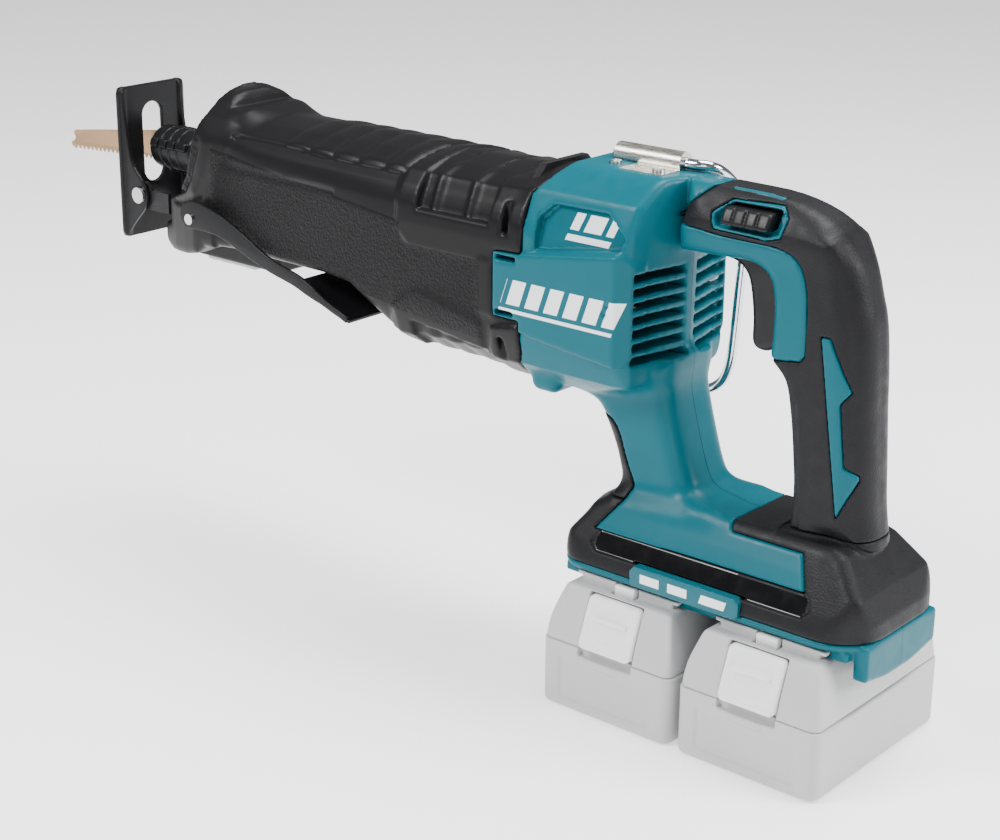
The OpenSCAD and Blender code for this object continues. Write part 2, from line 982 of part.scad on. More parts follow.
module switch_body() {
    color([0.16, 0.16, 0.18])
    placed() {
        block([30.5, -11, 192], [50, 11, 222]);
        x_cyl(28.9, 31, 2, 0, 212);
    }
}

module lock_off_button() {
    color(BLACK)
    placed() {
        block([-8.8, -20.6, 248.6], [15.8, 16.5, 255.8]);
        for (i = [0 : 4])
            block([-7.5 + i * 5, -21.4, 249.4], [-4.5 + i * 5, -20.5, 255]);
    }
}

module controller() {
    color([0.14, 0.14, 0.15])
    placed() {
        block([-56, -28, 76.8], [24, 28, 80.8]);
        for (i = [0 : 5])
            block([-50 + i * 6, -19, 80.7], [-47.5 + i * 6, 19, 86]);
    }
}

module pack_terminals() {
    color(BLACK)
    placed()
        for (x = [-1, 1] * pack_pitch / 2) {
            block([x - 22, 16, 66.8], [x + 22, 31, 76.2]);
            for (i = [-1.5 : 1 : 1.5])
                block([x + i * 11 - 0.5, 17, 58.4], [x + i * 11 + 0.5, 30, 67]);
        }
}

// ---------- hook ----------

module hook_bracket_shape(g) {
    x_cyl(-84 - g, -46 + g, 5.2 + g, hook_axis[0], hook_axis[1]);
    block([-84 - g, -14 - g, 259.2 - g], [-46 + g, 4 + g, 261.8 + g]);
}

module hook_bracket() {
    color(ALLOY)
    placed()
        difference() {
            hook_bracket_shape(0);
            x_cyl(-90, -40, hook_wire_d / 2 + 0.06, hook_axis[0], hook_axis[1]);
            for (x = bracket_screw_x)
                z_cyl(250, 270, 1.7, x, -8);
        }
}

module bracket_screws() {
    color(STEEL)
    placed()
        for (x = bracket_screw_x) {
            z_cyl(250.2, 262, 1.6, x, -8);
            z_cyl(261.9, 263.4, 3, x, -8);
        }
}

// The folded hook: out of the tube's rear end, over to the right, down the side, then forward.
hook_r = hook_wire_d / 2;
hook_x = -36;       // middle of the leg
hook_y = 47.5;
hook_low = 140;
hook_bend = 9;
hook_foot_bend = 16;

// A quarter ring of wire in the X-Y plane, from +X round to +Y.
module wire_bend(bend) {
    rotate_extrude(angle = 90)
        translate([bend, 0])
            circle(r = hook_r);
}

module hook_wire() {
    y0 = hook_axis[0];
    z0 = hook_axis[1];
    color(STEEL)
    placed() {
        x_cyl(-87, hook_x - hook_bend, hook_r, y0, z0);
        translate([hook_x - hook_bend, y0 + hook_bend, z0])
            rotate([0, 0, -90])
                wire_bend(hook_bend);
        y_cyl(y0 + hook_bend, hook_y - hook_bend, hook_r, hook_x, z0);
        translate([hook_x, hook_y - hook_bend, z0 - hook_bend])
            rotate([90, 0, 90])
                wire_bend(hook_bend);
        z_cyl(hook_low + hook_foot_bend, z0 - hook_bend, hook_r, hook_x, hook_y);
        translate([hook_x - hook_foot_bend, hook_y, hook_low + hook_foot_bend])
            rotate([-90, 0, 0])
                wire_bend(hook_foot_bend);
        x_cyl(-88, hook_x - hook_foot_bend, hook_r, hook_y, hook_low);
    }
}

// ---------- battery packs ----------

// A box with rounded upright edges.
module round_box(low, high, r) {
    block([low[0] + r, low[1], low[2]], [high[0] - r, high[1], high[2]]);
    block([low[0], low[1] + r, low[2]], [high[0], high[1] - r, high[2]]);
    for (x = [low[0] + r, high[0] - r], y = [low[1] + r, high[1] - r])
        z_cyl(low[2], high[2], r, x, y);
}

module pack_case(x) {
    color(PALE)
    placed()
        translate([x, 0, 0])
            difference() {
                round_box([-pack_w / 2, -pack_l / 2, 0], [pack_w / 2, pack_l / 2, 34.5], 9);
                round_box([-pack_w / 2 + 2.2, -pack_l / 2 + 2.2, 2.4],
                    [pack_w / 2 - 2.2, pack_l / 2 - 2.2, 40], 7);
                // Room for the button to be pressed down
                block([-15.9, -60, 30.4], [15.9, -50, 40]);
            }
}

module pack_cover(x) {
    color(PALE)
    placed()
        translate([x, 0, 0])
            difference() {
                union() {
                    round_box([-pack_w / 2, -pack_l / 2, 34.5 + gap],
                        [pack_w / 2, pack_l / 2, pack_top], 9);
                    block([-26.8, -38, pack_top - 1], [26.8, 38, tongue_z + 0.1]);
                    block([-29.8, -38, tongue_z], [29.8, 38, tongue_z + tongue_t]);
                }
                round_box([-pack_w / 2 + 2.2, -pack_l / 2 + 2.2, 30],
                    [pack_w / 2 - 2.2, pack_l / 2 - 2.2, pack_top - 2.4], 7);
                // Pocket for the tool's terminal block and blades
                block([-22.6, 15.4, pack_top - 10], [22.6, 60, pack_top + 9]);
                // Button window and the latch tooth's well
                block([-15.9, -60, 28], [15.9, -48, pack_top + 1]);
                block([-10.6, -50, 40], [10.6, -33, pack_top - 1]);
                block([-6.6, -41, 40], [6.6, -33, pack_top + 9]);
            }
}

module pack_cells(x) {
    color([0.25, 0.45, 0.35])
    placed()
        for (layer = [0, 1], i = [-2 : 2])
            x_cyl(x - 32.5, x + 32.5, 9, i * 18.6, 12.5 + layer * 18.6);
}

module pack_board(x) {
    color([0.1, 0.35, 0.2])
    placed()
        block([x - 24, -20, 43.6], [x + 24, 12, 45.2]);
}

module pack_button(x) {
    color(WHITE)
    placed()
        translate([x, 0, 0]) {
            block([-15.5, -56.5, 36], [15.5, -53.8, 61]);
            block([-10, -54, 50], [10, -36, 52.5]);
            block([-6, -40, 50], [6, -36, 66.2]);
        }
}

module front_pack_case() { pack_case(-pack_pitch / 2); }
module front_pack_cover() { pack_cover(-pack_pitch / 2); }
module front_pack_cells() { pack_cells(-pack_pitch / 2); }
module front_pack_board() { pack_board(-pack_pitch / 2); }
module front_pack_button() { pack_button(-pack_pitch / 2); }
module rear_pack_case() { pack_case(pack_pitch / 2); }
module rear_pack_cover() { pack_cover(pack_pitch / 2); }
module rear_pack_cells() { pack_cells(pack_pitch / 2); }
module rear_pack_board() { pack_board(pack_pitch / 2); }
module rear_pack_button() { pack_button(pack_pitch / 2); }

housing_left();
housing_right();
grip_overmold();
base_overmold();
neck_bumper();
grip_inserts();
badge_plate();
rubber_boot();
gear_housing();
gear_cover();
cover_screws();
front_seal();
rod_bushes();
gear_bearings();
motor_bearings();
motor_baffle();
stator_core();
stator_coils();
sensor_board();
rotor_shaft();
rotor_core();
rotor_magnets();
cooling_fan();
crank_gear();
crank_roller();
plunger_rod();
clamp_body();
blade();
blade_lock_pin();
clamp_sleeve();
clamp_spring();
shoe_arm();
shoe_rivets();
shoe_plate();
shoe_lever();
lever_pins();
lamp_housing();
lamp_lens();
trigger();
trigger_pin_rod();
trigger_spring();
switch_body();
lock_off_button();
controller();
pack_terminals();
hook_bracket();
hook_wire();
bracket_screws();
housing_screws();
front_pack_case();
front_pack_cover();
front_pack_cells();
front_pack_board();
front_pack_button();
rear_pack_case();
rear_pack_cover();
rear_pack_cells();
rear_pack_board();
rear_pack_button();
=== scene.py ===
import bmesh
import bpy
import math
import numpy as np
from mathutils import Matrix, Vector
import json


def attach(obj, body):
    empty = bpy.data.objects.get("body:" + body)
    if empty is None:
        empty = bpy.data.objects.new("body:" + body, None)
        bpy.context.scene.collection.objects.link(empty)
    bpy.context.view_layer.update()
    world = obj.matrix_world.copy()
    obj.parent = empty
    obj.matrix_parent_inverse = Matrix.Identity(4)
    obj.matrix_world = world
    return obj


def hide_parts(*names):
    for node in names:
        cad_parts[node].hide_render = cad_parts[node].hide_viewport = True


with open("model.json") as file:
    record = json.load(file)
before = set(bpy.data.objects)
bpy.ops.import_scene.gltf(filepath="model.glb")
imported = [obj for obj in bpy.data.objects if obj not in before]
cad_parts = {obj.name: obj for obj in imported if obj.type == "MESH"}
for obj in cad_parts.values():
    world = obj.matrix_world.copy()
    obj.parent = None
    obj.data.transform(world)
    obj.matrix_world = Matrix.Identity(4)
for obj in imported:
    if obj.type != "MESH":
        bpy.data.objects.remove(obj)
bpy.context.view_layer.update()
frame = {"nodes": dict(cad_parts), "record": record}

MM = 0.001
SHIFT_X = -40.5          # row X of the plane midway between the packs
COARSE = 1.0
ROD_Z = 222              # stroke axis
MOTOR_Z = 205
PACK_X = 40.5            # each pack's middle, from the mid plane
PACK_TOP = 62.4
WIRE_R = 2.5             # the hook's wire
WIRE_SIDES = 20
SKIRT_Z = 66.8
SEAM = 0.15              # half the gap between neighbouring mouldings
EDGE = 0.25              # softening on the edges of the CAD's own meshes


# ---------- signed distance fields: negative inside, in millimetres ----------

class Grid:
    """Sample points of a box, as three arrays that broadcast against each other."""

    def __init__(self, low, high, step):
        self.step = step * COARSE
        self.low = np.array(low, float) - 2 * self.step
        counts = np.ceil((np.array(high, float) - self.low) / self.step).astype(int) + 3
        self.shape = tuple(counts)
        x, y, z = (self.low[i] + self.step * np.arange(counts[i], dtype=np.float32)
                   for i in range(3))
        self.x = x[:, None, None].astype(np.float32)
        self.y = y[None, :, None].astype(np.float32)
        self.z = z[None, None, :].astype(np.float32)


def outline(points, a, b):
    """Distance from a closed outline drawn in the plane of a and b."""
    best = np.float32(1e9)
    inside = np.zeros(np.broadcast(a, b).shape, bool)
    count = len(points)
    for i in range(count):
        (x0, y0), (x1, y1) = points[i], points[(i + 1) % count]
        ex, ey = x1 - x0, y1 - y0
        if ex == ey == 0:
            continue
        wx, wy = a - x0, b - y0
        t = np.clip((wx * ex + wy * ey) / (ex * ex + ey * ey), 0, 1)
        best = np.minimum(best, (wx - ex * t) ** 2 + (wy - ey * t) ** 2)
        if y0 != y1:
            inside = inside ^ (((b < y0) != (b < y1)) & (wx < wy * (ex / ey)))
    return (np.where(inside, -1, 1) * np.sqrt(best)).astype(np.float32)


def join(a, b, k=0.0):
    """Union with a fillet of about k."""
    if k <= 0:
        return np.minimum(a, b)
    h = np.clip(0.5 + 0.5 * (b - a) / k, 0, 1)
    return b + (a - b) * h - k * h * (1 - h)


def meet(a, b, k=0.0):
    """Common part, its edges rounded by about k."""
    return -join(-a, -b, k)


def round_meet(a, b, r):
    """Common part with a true arc of radius r along the edge."""
    return (np.minimum(np.maximum(a, b), -r)
            + np.sqrt(np.maximum(a + r, 0) ** 2 + np.maximum(b + r, 0) ** 2))


def cut(a, b, k=0.0):
    """What is left of a without b."""
    return meet(a, -b, k)


def slab(v, low, high):
    return np.maximum(low - v, v - high)


def brick(g, low, high, r=0.0):
    """A box with all its edges rounded by r."""
    parts = [np.maximum(low[i] + r - v, v - high[i] + r) for i, v in enumerate((g.x, g.y, g.z))]
    outside = np.sqrt(sum(np.maximum(p, 0) ** 2 for p in parts))
    return outside + np.minimum(np.maximum(np.maximum(parts[0], parts[1]), parts[2]), 0) - r


def upright_box(g, low, high, corner, edge):
    """A box with upright corners of one radius and softer top and bottom edges."""
    px = np.maximum(low[0] + corner - g.x, g.x - high[0] + corner)
    py = np.maximum(low[1] + corner - g.y, g.y - high[1] + corner)
    plan = (np.sqrt(np.maximum(px, 0) ** 2 + np.maximum(py, 0) ** 2)
            + np.minimum(np.maximum(px, py), 0) - corner)
    return meet(plan, slab(g.z, low[2], high[2]), edge)


def rod_x(g, y, z, r, x0, x1, k=0.0):
    return meet(np.sqrt((g.y - y) ** 2 + (g.z - z) ** 2) - r, slab(g.x, x0, x1), k)


def rod_y(g, x, z, r, y0, y1, k=0.0):
    return meet(np.sqrt((g.x - x) ** 2 + (g.z - z) ** 2) - r, slab(g.y, y0, y1), k)


def ramp(v, low, high):
    """0 below low, 1 above high, smooth between."""
    t = np.clip((v - low) / (high - low), 0, 1)
    return t * t * (3 - 2 * t)


def section_of(half, g):
    """Distance from a cross-section given by its positive Y half."""
    return outline(list(half) + [(-y, z) for y, z in reversed(half)], g.y, g.z)


def plan_of(half, g):
    """Distance from a plan outline given by its positive Y half."""
    return outline(list(half) + [(x, -y) for x, y in reversed(half)], g.x, g.y)


def curve(points, steps=4):
    """A smooth open curve through the points."""
    p = np.array(points, float)
    out = []
    for i in range(len(p) - 1):
        a, b, c, d = p[max(i - 1, 0)], p[i], p[i + 1], p[min(i + 2, len(p) - 1)]
        for t in np.arange(steps) / steps:
            out.append(tuple(0.5 * (2 * b + (c - a) * t + (2 * a - 5 * b + 4 * c - d) * t ** 2
                                    + (3 * b - a - 3 * c + d) * t ** 3)))
    out.append(tuple(p[-1]))
    return out


# ---------- meshes ----------

def to_row(points):
    """Drawing millimetres to row metres."""
    out = np.array(points, float)
    out[:, 0] += SHIFT_X
    return out * MM


def mesh_object(name, points, faces):
    """A smooth object made of quads."""
    mesh = bpy.data.meshes.new(name)
    mesh.vertices.add(len(points))
    mesh.vertices.foreach_set("co", to_row(points).astype(np.float32).ravel())
    faces = np.array(faces, np.int32)
    mesh.loops.add(faces.size)
    mesh.loops.foreach_set("vertex_index", faces.ravel())
    mesh.polygons.add(len(faces))
    mesh.polygons.foreach_set("loop_start", np.arange(len(faces), dtype=np.int32) * 4)
    mesh.update(calc_edges=True)
    mesh.validate()
    mesh.polygons.foreach_set("use_smooth", np.full(len(mesh.polygons), True))
    obj = bpy.data.objects.new(name, mesh)
    bpy.context.scene.collection.objects.link(obj)
    return obj


def skin(name, g, field):
    """A smooth quad mesh on the field's zero surface (surface nets)."""
    f = np.broadcast_to(field, g.shape).astype(np.float32)
    inside = f < 0
    corner = [(i, j, k) for i in (0, 1) for j in (0, 1) for k in (0, 1)]
    nx, ny, nz = (n - 1 for n in g.shape)
    filled = np.zeros((nx, ny, nz), np.int8)
    for i, j, k in corner:
        filled += inside[i:i + nx, j:j + ny, k:k + nz]
    cells = np.argwhere((filled > 0) & (filled < 8))
    index = np.full((nx, ny, nz), -1, np.int32)
    index[tuple(cells.T)] = np.arange(len(cells))
    value = {c: f[tuple((cells + c).T)] for c in corner}
    total = np.zeros((len(cells), 3))
    hits = np.zeros(len(cells))
    for a in corner:
        for axis in range(3):
            if a[axis]:
                continue
            b = tuple(1 if n == axis else a[n] for n in range(3))
            crosses = (value[a] < 0) != (value[b] < 0)
            t = np.where(crosses, value[a] / np.where(crosses, value[a] - value[b], 1), 0)
            spot = np.tile(np.array(a, float), (len(cells), 1))
            spot[:, axis] += t
            total += spot * crosses[:, None]
            hits += crosses
    points = g.low + g.step * (cells + total / hits[:, None])
    faces = []
    for axis in range(3):
        u, v = (axis + 1) % 3, (axis + 2) % 3
        step = np.eye(3, dtype=int)
        here = inside[:-1, :-1, :-1]
        ahead = inside[tuple(slice(1, None) if n == axis else slice(None, -1) for n in range(3))]
        change = here != ahead
        edge = np.argwhere(change)
        edge = edge[(edge[:, u] > 0) & (edge[:, v] > 0)]
        ring = [edge, edge - step[u], edge - step[u] - step[v], edge - step[v]]
        quad = np.stack([index[tuple(r.T)] for r in ring], 1)
        flip = ~here[tuple(edge.T)]
        quad[flip] = quad[flip][:, ::-1]
        faces.append(quad)
    return mesh_object(name, points, np.concatenate(faces))


def prism(name, points, y0, y1, bevel=0.4, segments=3):
    """An X-Z outline extruded across the tool with rounded edges."""
    bm = bmesh.new()
    ring = [bm.verts.new(((x + SHIFT_X) * MM, y0 * MM, z * MM)) for x, z in points]
    bm.faces.new(ring)
    made = bmesh.ops.extrude_face_region(bm, geom=bm.faces[:])
    verts = [v for v in made["geom"] if isinstance(v, bmesh.types.BMVert)]
    bmesh.ops.translate(bm, verts=verts, vec=(0, (y1 - y0) * MM, 0))
    bmesh.ops.recalc_face_normals(bm, faces=bm.faces[:])
    rim = [e for e in bm.edges if e.calc_face_angle(0) > math.radians(32)]
    bmesh.ops.bevel(bm, geom=rim, offset=bevel * MM, segments=segments, profile=0.6,
                    affect="EDGES", clamp_overlap=True)
    return finish_bmesh(name, bm)


SHARP = math.radians(40)       # edges turned further than this stay crisp


def finish_bmesh(name, bm):
    """Turns edited geometry into an object, smooth apart from its sharp edges."""
    for face in bm.faces:
        face.smooth = True
    for edge in bm.edges:
        edge.smooth = edge.calc_face_angle(0) < SHARP
    mesh = bpy.data.meshes.new(name)
    bm.to_mesh(mesh)
    bm.free()
    obj = bpy.data.objects.new(name, mesh)
    bpy.context.scene.collection.objects.link(obj)
    return obj


def merged(name, objects):
    """Several pieces of one part as one object."""
    bm = bmesh.new()
    for obj in objects:
        bm.from_mesh(obj.data)
        bpy.data.objects.remove(obj)
    return finish_bmesh(name, bm)


def place(obj, body, slot, *nodes, look=None):
    """Gives a piece its body and the material named by its look, else by its slot, and hides the CAD
    nodes it stands for.
    """
    obj.data.materials.clear()
    obj.data.materials.append(MATERIALS[look or slot])
    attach(obj, body)
    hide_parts(*nodes)
    return obj


# ---------- materials ----------

class Shader:
    """A small helper that wires procedural nodes round one principled shader."""

    def __init__(self, name):
        self.material = bpy.data.materials.new(name)
        self.material.use_nodes = True
        self.tree = self.material.node_tree
        self.bsdf = self.tree.nodes["Principled BSDF"]
        self.coord = self.node("ShaderNodeTexCoord").outputs["Object"]

    def node(self, kind, **values):
        made = self.tree.nodes.new(kind)
        for key, value in values.items():
            setattr(made, key, value)
        return made

    def link(self, a, b):
        self.tree.links.new(a, b)

    def noise(self, size_mm, detail=3.0, stretch=None):
        tex = self.node("ShaderNodeTexNoise")
        tex.inputs["Scale"].default_value = 1000 / size_mm
        tex.inputs["Detail"].default_value = detail
        source = self.coord
        if stretch:
            mapping = self.node("ShaderNodeMapping")
            mapping.inputs["Scale"].default_value = stretch
            self.link(source, mapping.inputs["Vector"])
            source = mapping.outputs["Vector"]
        self.link(source, tex.inputs["Vector"])
        return tex.outputs["Fac"]

    def cells(self, size_mm):
        tex = self.node("ShaderNodeTexVoronoi", feature="SMOOTH_F1")
        tex.inputs["Scale"].default_value = 1000 / size_mm
        tex.inputs["Smoothness"].default_value = 0.6
        self.link(self.coord, tex.inputs["Vector"])
        return tex.outputs["Distance"]

    def math(self, kind, a, b=0.0):
        made = self.node("ShaderNodeMath", operation=kind)
        for socket, value in zip(made.inputs, (a, b)):
            if isinstance(value, (int, float)):
                socket.default_value = value
            else:
                self.link(value, socket)
        return made.outputs[0]

    def remap(self, value, low, high, out_low, out_high):
        made = self.node("ShaderNodeMapRange", interpolation_type="SMOOTHSTEP")
        self.link(value, made.inputs["Value"])
        for key, number in (("From Min", low), ("From Max", high), ("To Min", out_low),
                            ("To Max", out_high)):
            made.inputs[key].default_value = number
        return made.outputs["Result"]

    def mix(self, factor, a, b):
        made = self.node("ShaderNodeMix", data_type="RGBA")
        sockets = [s for s in made.inputs if s.type == "RGBA"]
        if isinstance(factor, (int, float)):
            made.inputs["Factor"].default_value = factor
        else:
            self.link(factor, made.inputs["Factor"])
        for socket, value in zip(sockets, (a, b)):
            if isinstance(value, tuple):
                socket.default_value = (*value, 1)
            else:
                self.link(value, socket)
        return [s for s in made.outputs if s.type == "RGBA"][0]

    def between(self, value, low, high):
        """1 where low < value < high."""
        return self.math("MULTIPLY", self.math("GREATER_THAN", value, low),
                         self.math("LESS_THAN", value, high))

    def axes(self):
        """The tool's own X, Y, Z in millimetres about the mid plane."""
        split = self.node("ShaderNodeSeparateXYZ")
        self.link(self.coord, split.inputs[0])
        x, y, z = (self.math("MULTIPLY", split.outputs[i], 1000) for i in range(3))
        return self.math("SUBTRACT", x, SHIFT_X), y, z

    def bump(self, height, strength, distance_mm, before=None):
        made = self.node("ShaderNodeBump")
        made.inputs["Strength"].default_value = strength
        made.inputs["Distance"].default_value = distance_mm * MM
        self.link(height, made.inputs["Height"])
        if before is not None:
            self.link(before, made.inputs["Normal"])
        return made.outputs["Normal"]

    def edge_wear(self, low=0.53, high=0.62):
        geometry = self.node("ShaderNodeNewGeometry")
        return self.remap(geometry.outputs["Pointiness"], low, high, 0, 1)


def tinted(color, factor):
    return tuple(min(1, c * factor) for c in color)


def plain(name, color, rough, metal=0.0, grain=0.0, grain_mm=1.0, depth_mm=0.1, wear=0.25,
          coat=0.0, leather=False, brushed=None, spread=0.1, shine=0.18):
    """A moulded or metal surface: uneven colour and roughness, grain, lighter worn edges."""
    s = Shader(name)
    cloud = s.noise(22, 4)
    body = s.mix(cloud, tinted(color, 1 - spread), tinted(color, 1 + spread))
    worn = s.math("MULTIPLY", s.edge_wear(), wear)
    body = s.mix(worn, body, tuple(min(1, c * 1.6 + 0.012) for c in color))
    fine = s.noise(grain_mm, 3, brushed)
    s.link(body, s.bsdf.inputs["Base Color"])
    s.link(s.remap(s.noise(7, 5, brushed), 0.3, 0.7, max(rough - 0.06, 0.02), rough + 0.06),
           s.bsdf.inputs["Roughness"])
    normal = s.bump(s.noise(60, 2), 0.08, 0.4)
    if grain:
        height = s.cells(grain_mm) if leather else fine
        normal = s.bump(height, grain, depth_mm, normal)
    s.link(normal, s.bsdf.inputs["Normal"])
    s.bsdf.inputs["Metallic"].default_value = metal
    s.bsdf.inputs["Specular IOR Level"].default_value = 0.5 if metal or coat else shine
    s.bsdf.inputs["Coat Weight"].default_value = coat
    s.bsdf.inputs["Coat Roughness"].default_value = 0.12
    s.base_color = body
    s.base_normal = normal
    return s


TEAL = (0.0, 0.088, 0.118)
WHITE = (0.80, 0.83, 0.85)


def teal_material():
    s = plain("teal_nylon", TEAL, 0.36, grain=0.18, grain_mm=0.5, depth_mm=0.05, wear=0.3,
              spread=0.05, shine=0.16)
    x, y, z = s.axes()
    side = s.math("GREATER_THAN", s.math("ABSOLUTE", y), 30)
    # Side mark: a row of slanted bars over a thin rule
    slant = s.math("ADD", x, s.math("MULTIPLY", z, -0.35))
    stripe = s.math("LESS_THAN", s.math("MODULO", s.math("ADD", slant, 400), 11.5), 8.2)
    bars = s.math("MULTIPLY", stripe, s.between(z, 194, 206.5))
    rule = s.between(z, 190, 191.8)
    mark = s.math("MAXIMUM", bars, rule)
    mark = s.math("MULTIPLY", mark, s.between(slant, -185, -117))
    # Upper mark: two short bars over a rule
    stripe = s.math("LESS_THAN", s.math("MODULO", s.math("ADD", slant, 403), 13), 10.2)
    small = s.math("MULTIPLY", stripe, s.between(z, 234.5, 242.5))
    small = s.math("MAXIMUM", small, s.between(z, 229.5, 232.4))
    small = s.math("MULTIPLY", small, s.between(slant, -164, -138.5))
    print_mask = s.math("MULTIPLY", s.math("MAXIMUM", mark, small), side)
    # Dark hairline where the halves meet
    seam = s.math("LESS_THAN", s.math("ABSOLUTE", y), 0.22)
    color = s.mix(print_mask, s.base_color, WHITE)
    color = s.mix(seam, color, (0.0, 0.02, 0.03))
    s.link(color, s.bsdf.inputs["Base Color"])
    return s.material


def boot_material():
    """Black rubber: coarse leather grain on the side panels, smooth ribs and frames."""
    s = plain("boot_rubber", (0.0065, 0.0063, 0.0072), 0.46, wear=0.3, spread=0.15, shine=0.15)
    x, z = s.axes()[::2]
    below = s.remap(s.math("ADD", z, s.math("MULTIPLY", x, 0.10)), 201, 204, 1, 0)
    ahead = s.between(x, -330, -131)
    low = s.math("GREATER_THAN", z, s.math("ADD", s.math("MULTIPLY", x, -0.10), 158))
    window = s.math("SUBTRACT", 1, s.math("MULTIPLY", s.math("GREATER_THAN", x, -184),
                                          s.math("GREATER_THAN", z, 212)))
    mask = s.math("MULTIPLY", s.math("MULTIPLY", below, ahead), s.math("MULTIPLY", low, window))
    height = s.math("MULTIPLY", s.math("ADD", s.cells(1.5), s.noise(0.9, 4)), mask)
    s.link(s.bump(height, 0.9, 0.6, s.base_normal), s.bsdf.inputs["Normal"])
    s.link(s.remap(s.math("ADD", mask, s.math("MULTIPLY", s.noise(9, 4), 0.5)), 0, 1.5, 0.36, 0.52),
           s.bsdf.inputs["Roughness"])
    return s.material


def label_material():
    """Teal plate with a plain pictogram of two cells and a bar."""
    s = plain("badge_teal", TEAL, 0.3, wear=0.2, spread=0.05, shine=0.25)
    x, y, z = s.axes()
    tall = s.between(z, 72.5, 77)
    cells = s.math("MAXIMUM", s.between(x, -30, -19), s.between(x, -14, -3))
    bar = s.between(s.math("ADD", x, s.math("MULTIPLY", z, -0.3)), -18, -4)
    mask = s.math("MULTIPLY", tall, s.math("MAXIMUM", cells, bar))
    front = s.math("LESS_THAN", y, -40)
    s.link(s.mix(s.math("MULTIPLY", mask, front), s.base_color, WHITE),
           s.bsdf.inputs["Base Color"])
    return s.material


MATERIALS = {
    "teal_plastic": teal_material(),
    "soft_black": plain("soft_black", (0.0085, 0.0085, 0.0100), 0.47, grain=0.5, grain_mm=1.0,
                        depth_mm=0.16, leather=True, wear=0.2, shine=0.16).material,
    "boot_rubber": boot_material(),
    "black_plastic": plain("black_plastic", (0.009, 0.009, 0.010), 0.34, grain=0.2, grain_mm=0.6,
                           depth_mm=0.05).material,
    "black_steel": plain("black_steel", (0.006, 0.006, 0.007), 0.33, grain=0.35, grain_mm=0.7,
                         depth_mm=0.05, wear=0.5).material,
    "alloy": plain("cast_alloy", (0.50, 0.50, 0.51), 0.42, 0.9, grain=0.5, grain_mm=0.9,
                   depth_mm=0.12).material,
    "satin_plate": plain("satin_plate", (0.56, 0.54, 0.49), 0.3, 1.0, grain=0.2, grain_mm=0.5,
                         depth_mm=0.03, brushed=(1, 6, 6)).material,
    "steel": plain("ground_steel", (0.52, 0.52, 0.54), 0.28, 1.0, grain=0.25, grain_mm=0.5,
                   depth_mm=0.03, brushed=(1, 5, 5)).material,
    "chrome_wire": plain("bright_wire", (0.62, 0.64, 0.67), 0.1, 1.0, wear=0.1).material,
    "bronze": plain("sinter_bronze", (0.50, 0.33, 0.16), 0.4, 1.0, grain=0.3,
                    grain_mm=0.5).material,
    "copper": plain("winding", (0.60, 0.26, 0.10), 0.3, 1.0, grain=0.6, grain_mm=1.2,
                    depth_mm=0.2, brushed=(8, 1, 1)).material,
    "blade_coat": plain("blade_coat", (0.30, 0.185, 0.095), 0.42, 0.35, grain=0.4, grain_mm=0.8,
                        depth_mm=0.04, wear=0.6).material,
    "board_green": plain("board_green", (0.02, 0.12, 0.06), 0.4).material,
    "dark_plastic": plain("dark_plastic", (0.03, 0.03, 0.034), 0.5, grain=0.3,
                          grain_mm=0.7).material,
    "lens_grey": plain("lens_grey", (0.36, 0.37, 0.39), 0.12, coat=0.6).material,
    "pack_grey": plain("pack_grey", (0.45, 0.45, 0.455), 0.4, grain=0.12, grain_mm=0.6,
                       depth_mm=0.04, wear=0.35, spread=0.03).material,
    "button_white": plain("button_white", (0.80, 0.80, 0.80), 0.3, wear=0.1,
                          spread=0.02).material,
    "cell_wrap": plain("cell_wrap", (0.03, 0.16, 0.10), 0.3, coat=0.3).material,
    "badge": label_material(),
    "gloss_black": plain("gloss_black", (0.003, 0.003, 0.004), 0.15, shine=0.35, wear=0).material,
}


# ---------- the moulded body ----------

MOTOR_SIDE = [(-123, 151), (-88, 150.5), (-60, 157), (-44, 163), (-36, 172), (-34.5, 223),
              (-35, 236), (-30, 262), (-64, 262), (-90, 263.5), (-123, 259)]
MOTOR_PLAN = [(-123, 42.3), (-50, 42.3), (-43.6, 37), (-41.5, 29), (-35.5, 0)]
MOTOR_SECTION = [(14, 149), (26, 154), (37, 164), (42.3, 180), (42.3, 229), (34, 250), (18, 264)]
GRIP_FRONT = [(-34, 229), (-14, 229.5), (5, 230), (15, 225), (18, 213), (18, 198), (18, 188),
              (26, 179), (29.5, 165), (32, 146), (33.5, 128), (32.5, 106)]
GRIP_REAR = [(-34, 262), (-14, 262), (17, 260.5), (42, 252.5), (56, 237), (62, 220), (65, 208),
             (67, 188), (68, 168), (69.5, 146), (71, 124), (74, 106)]
ARM_SECTION = [(19, 90), (19, 246), (9, 262)]
NECK_FRONT = [(-84, 152), (-75, 142), (-67, 127), (-62.5, 112), (-62, 104), (-72, 96)]
NECK_REAR = [(-34, 176), (-34, 160), (-30, 143), (-23, 121), (-17, 112), (-6, 106)]
BASE_SIDE = [(-84, SKIRT_Z), (-84.5, 73), (-80, 84), (-70, 98), (-60, 104), (-20, 107),
             (-6, 110), (30, 110), (62, 110), (68, 107), (81.5, 91.5), (87, 79.5), (88, 73),
             (86, SKIRT_Z)]
BASE_SECTION = [(41.5, SKIRT_Z), (41.5, 73), (37.5, 83), (30, 97), (22, 111)]
UPPER_PANEL = [(-98.5, 222.5), (-98, 238), (-91, 244.5), (-60, 245.5), (-47.5, 236.5),
               (-49.5, 230)]
MAIN_PANEL = [(-124, 186), (-124, 219), (-100, 220.5), (-47, 228.5), (-38, 221), (-41, 183),
              (-46, 174.5), (-102, 180)]

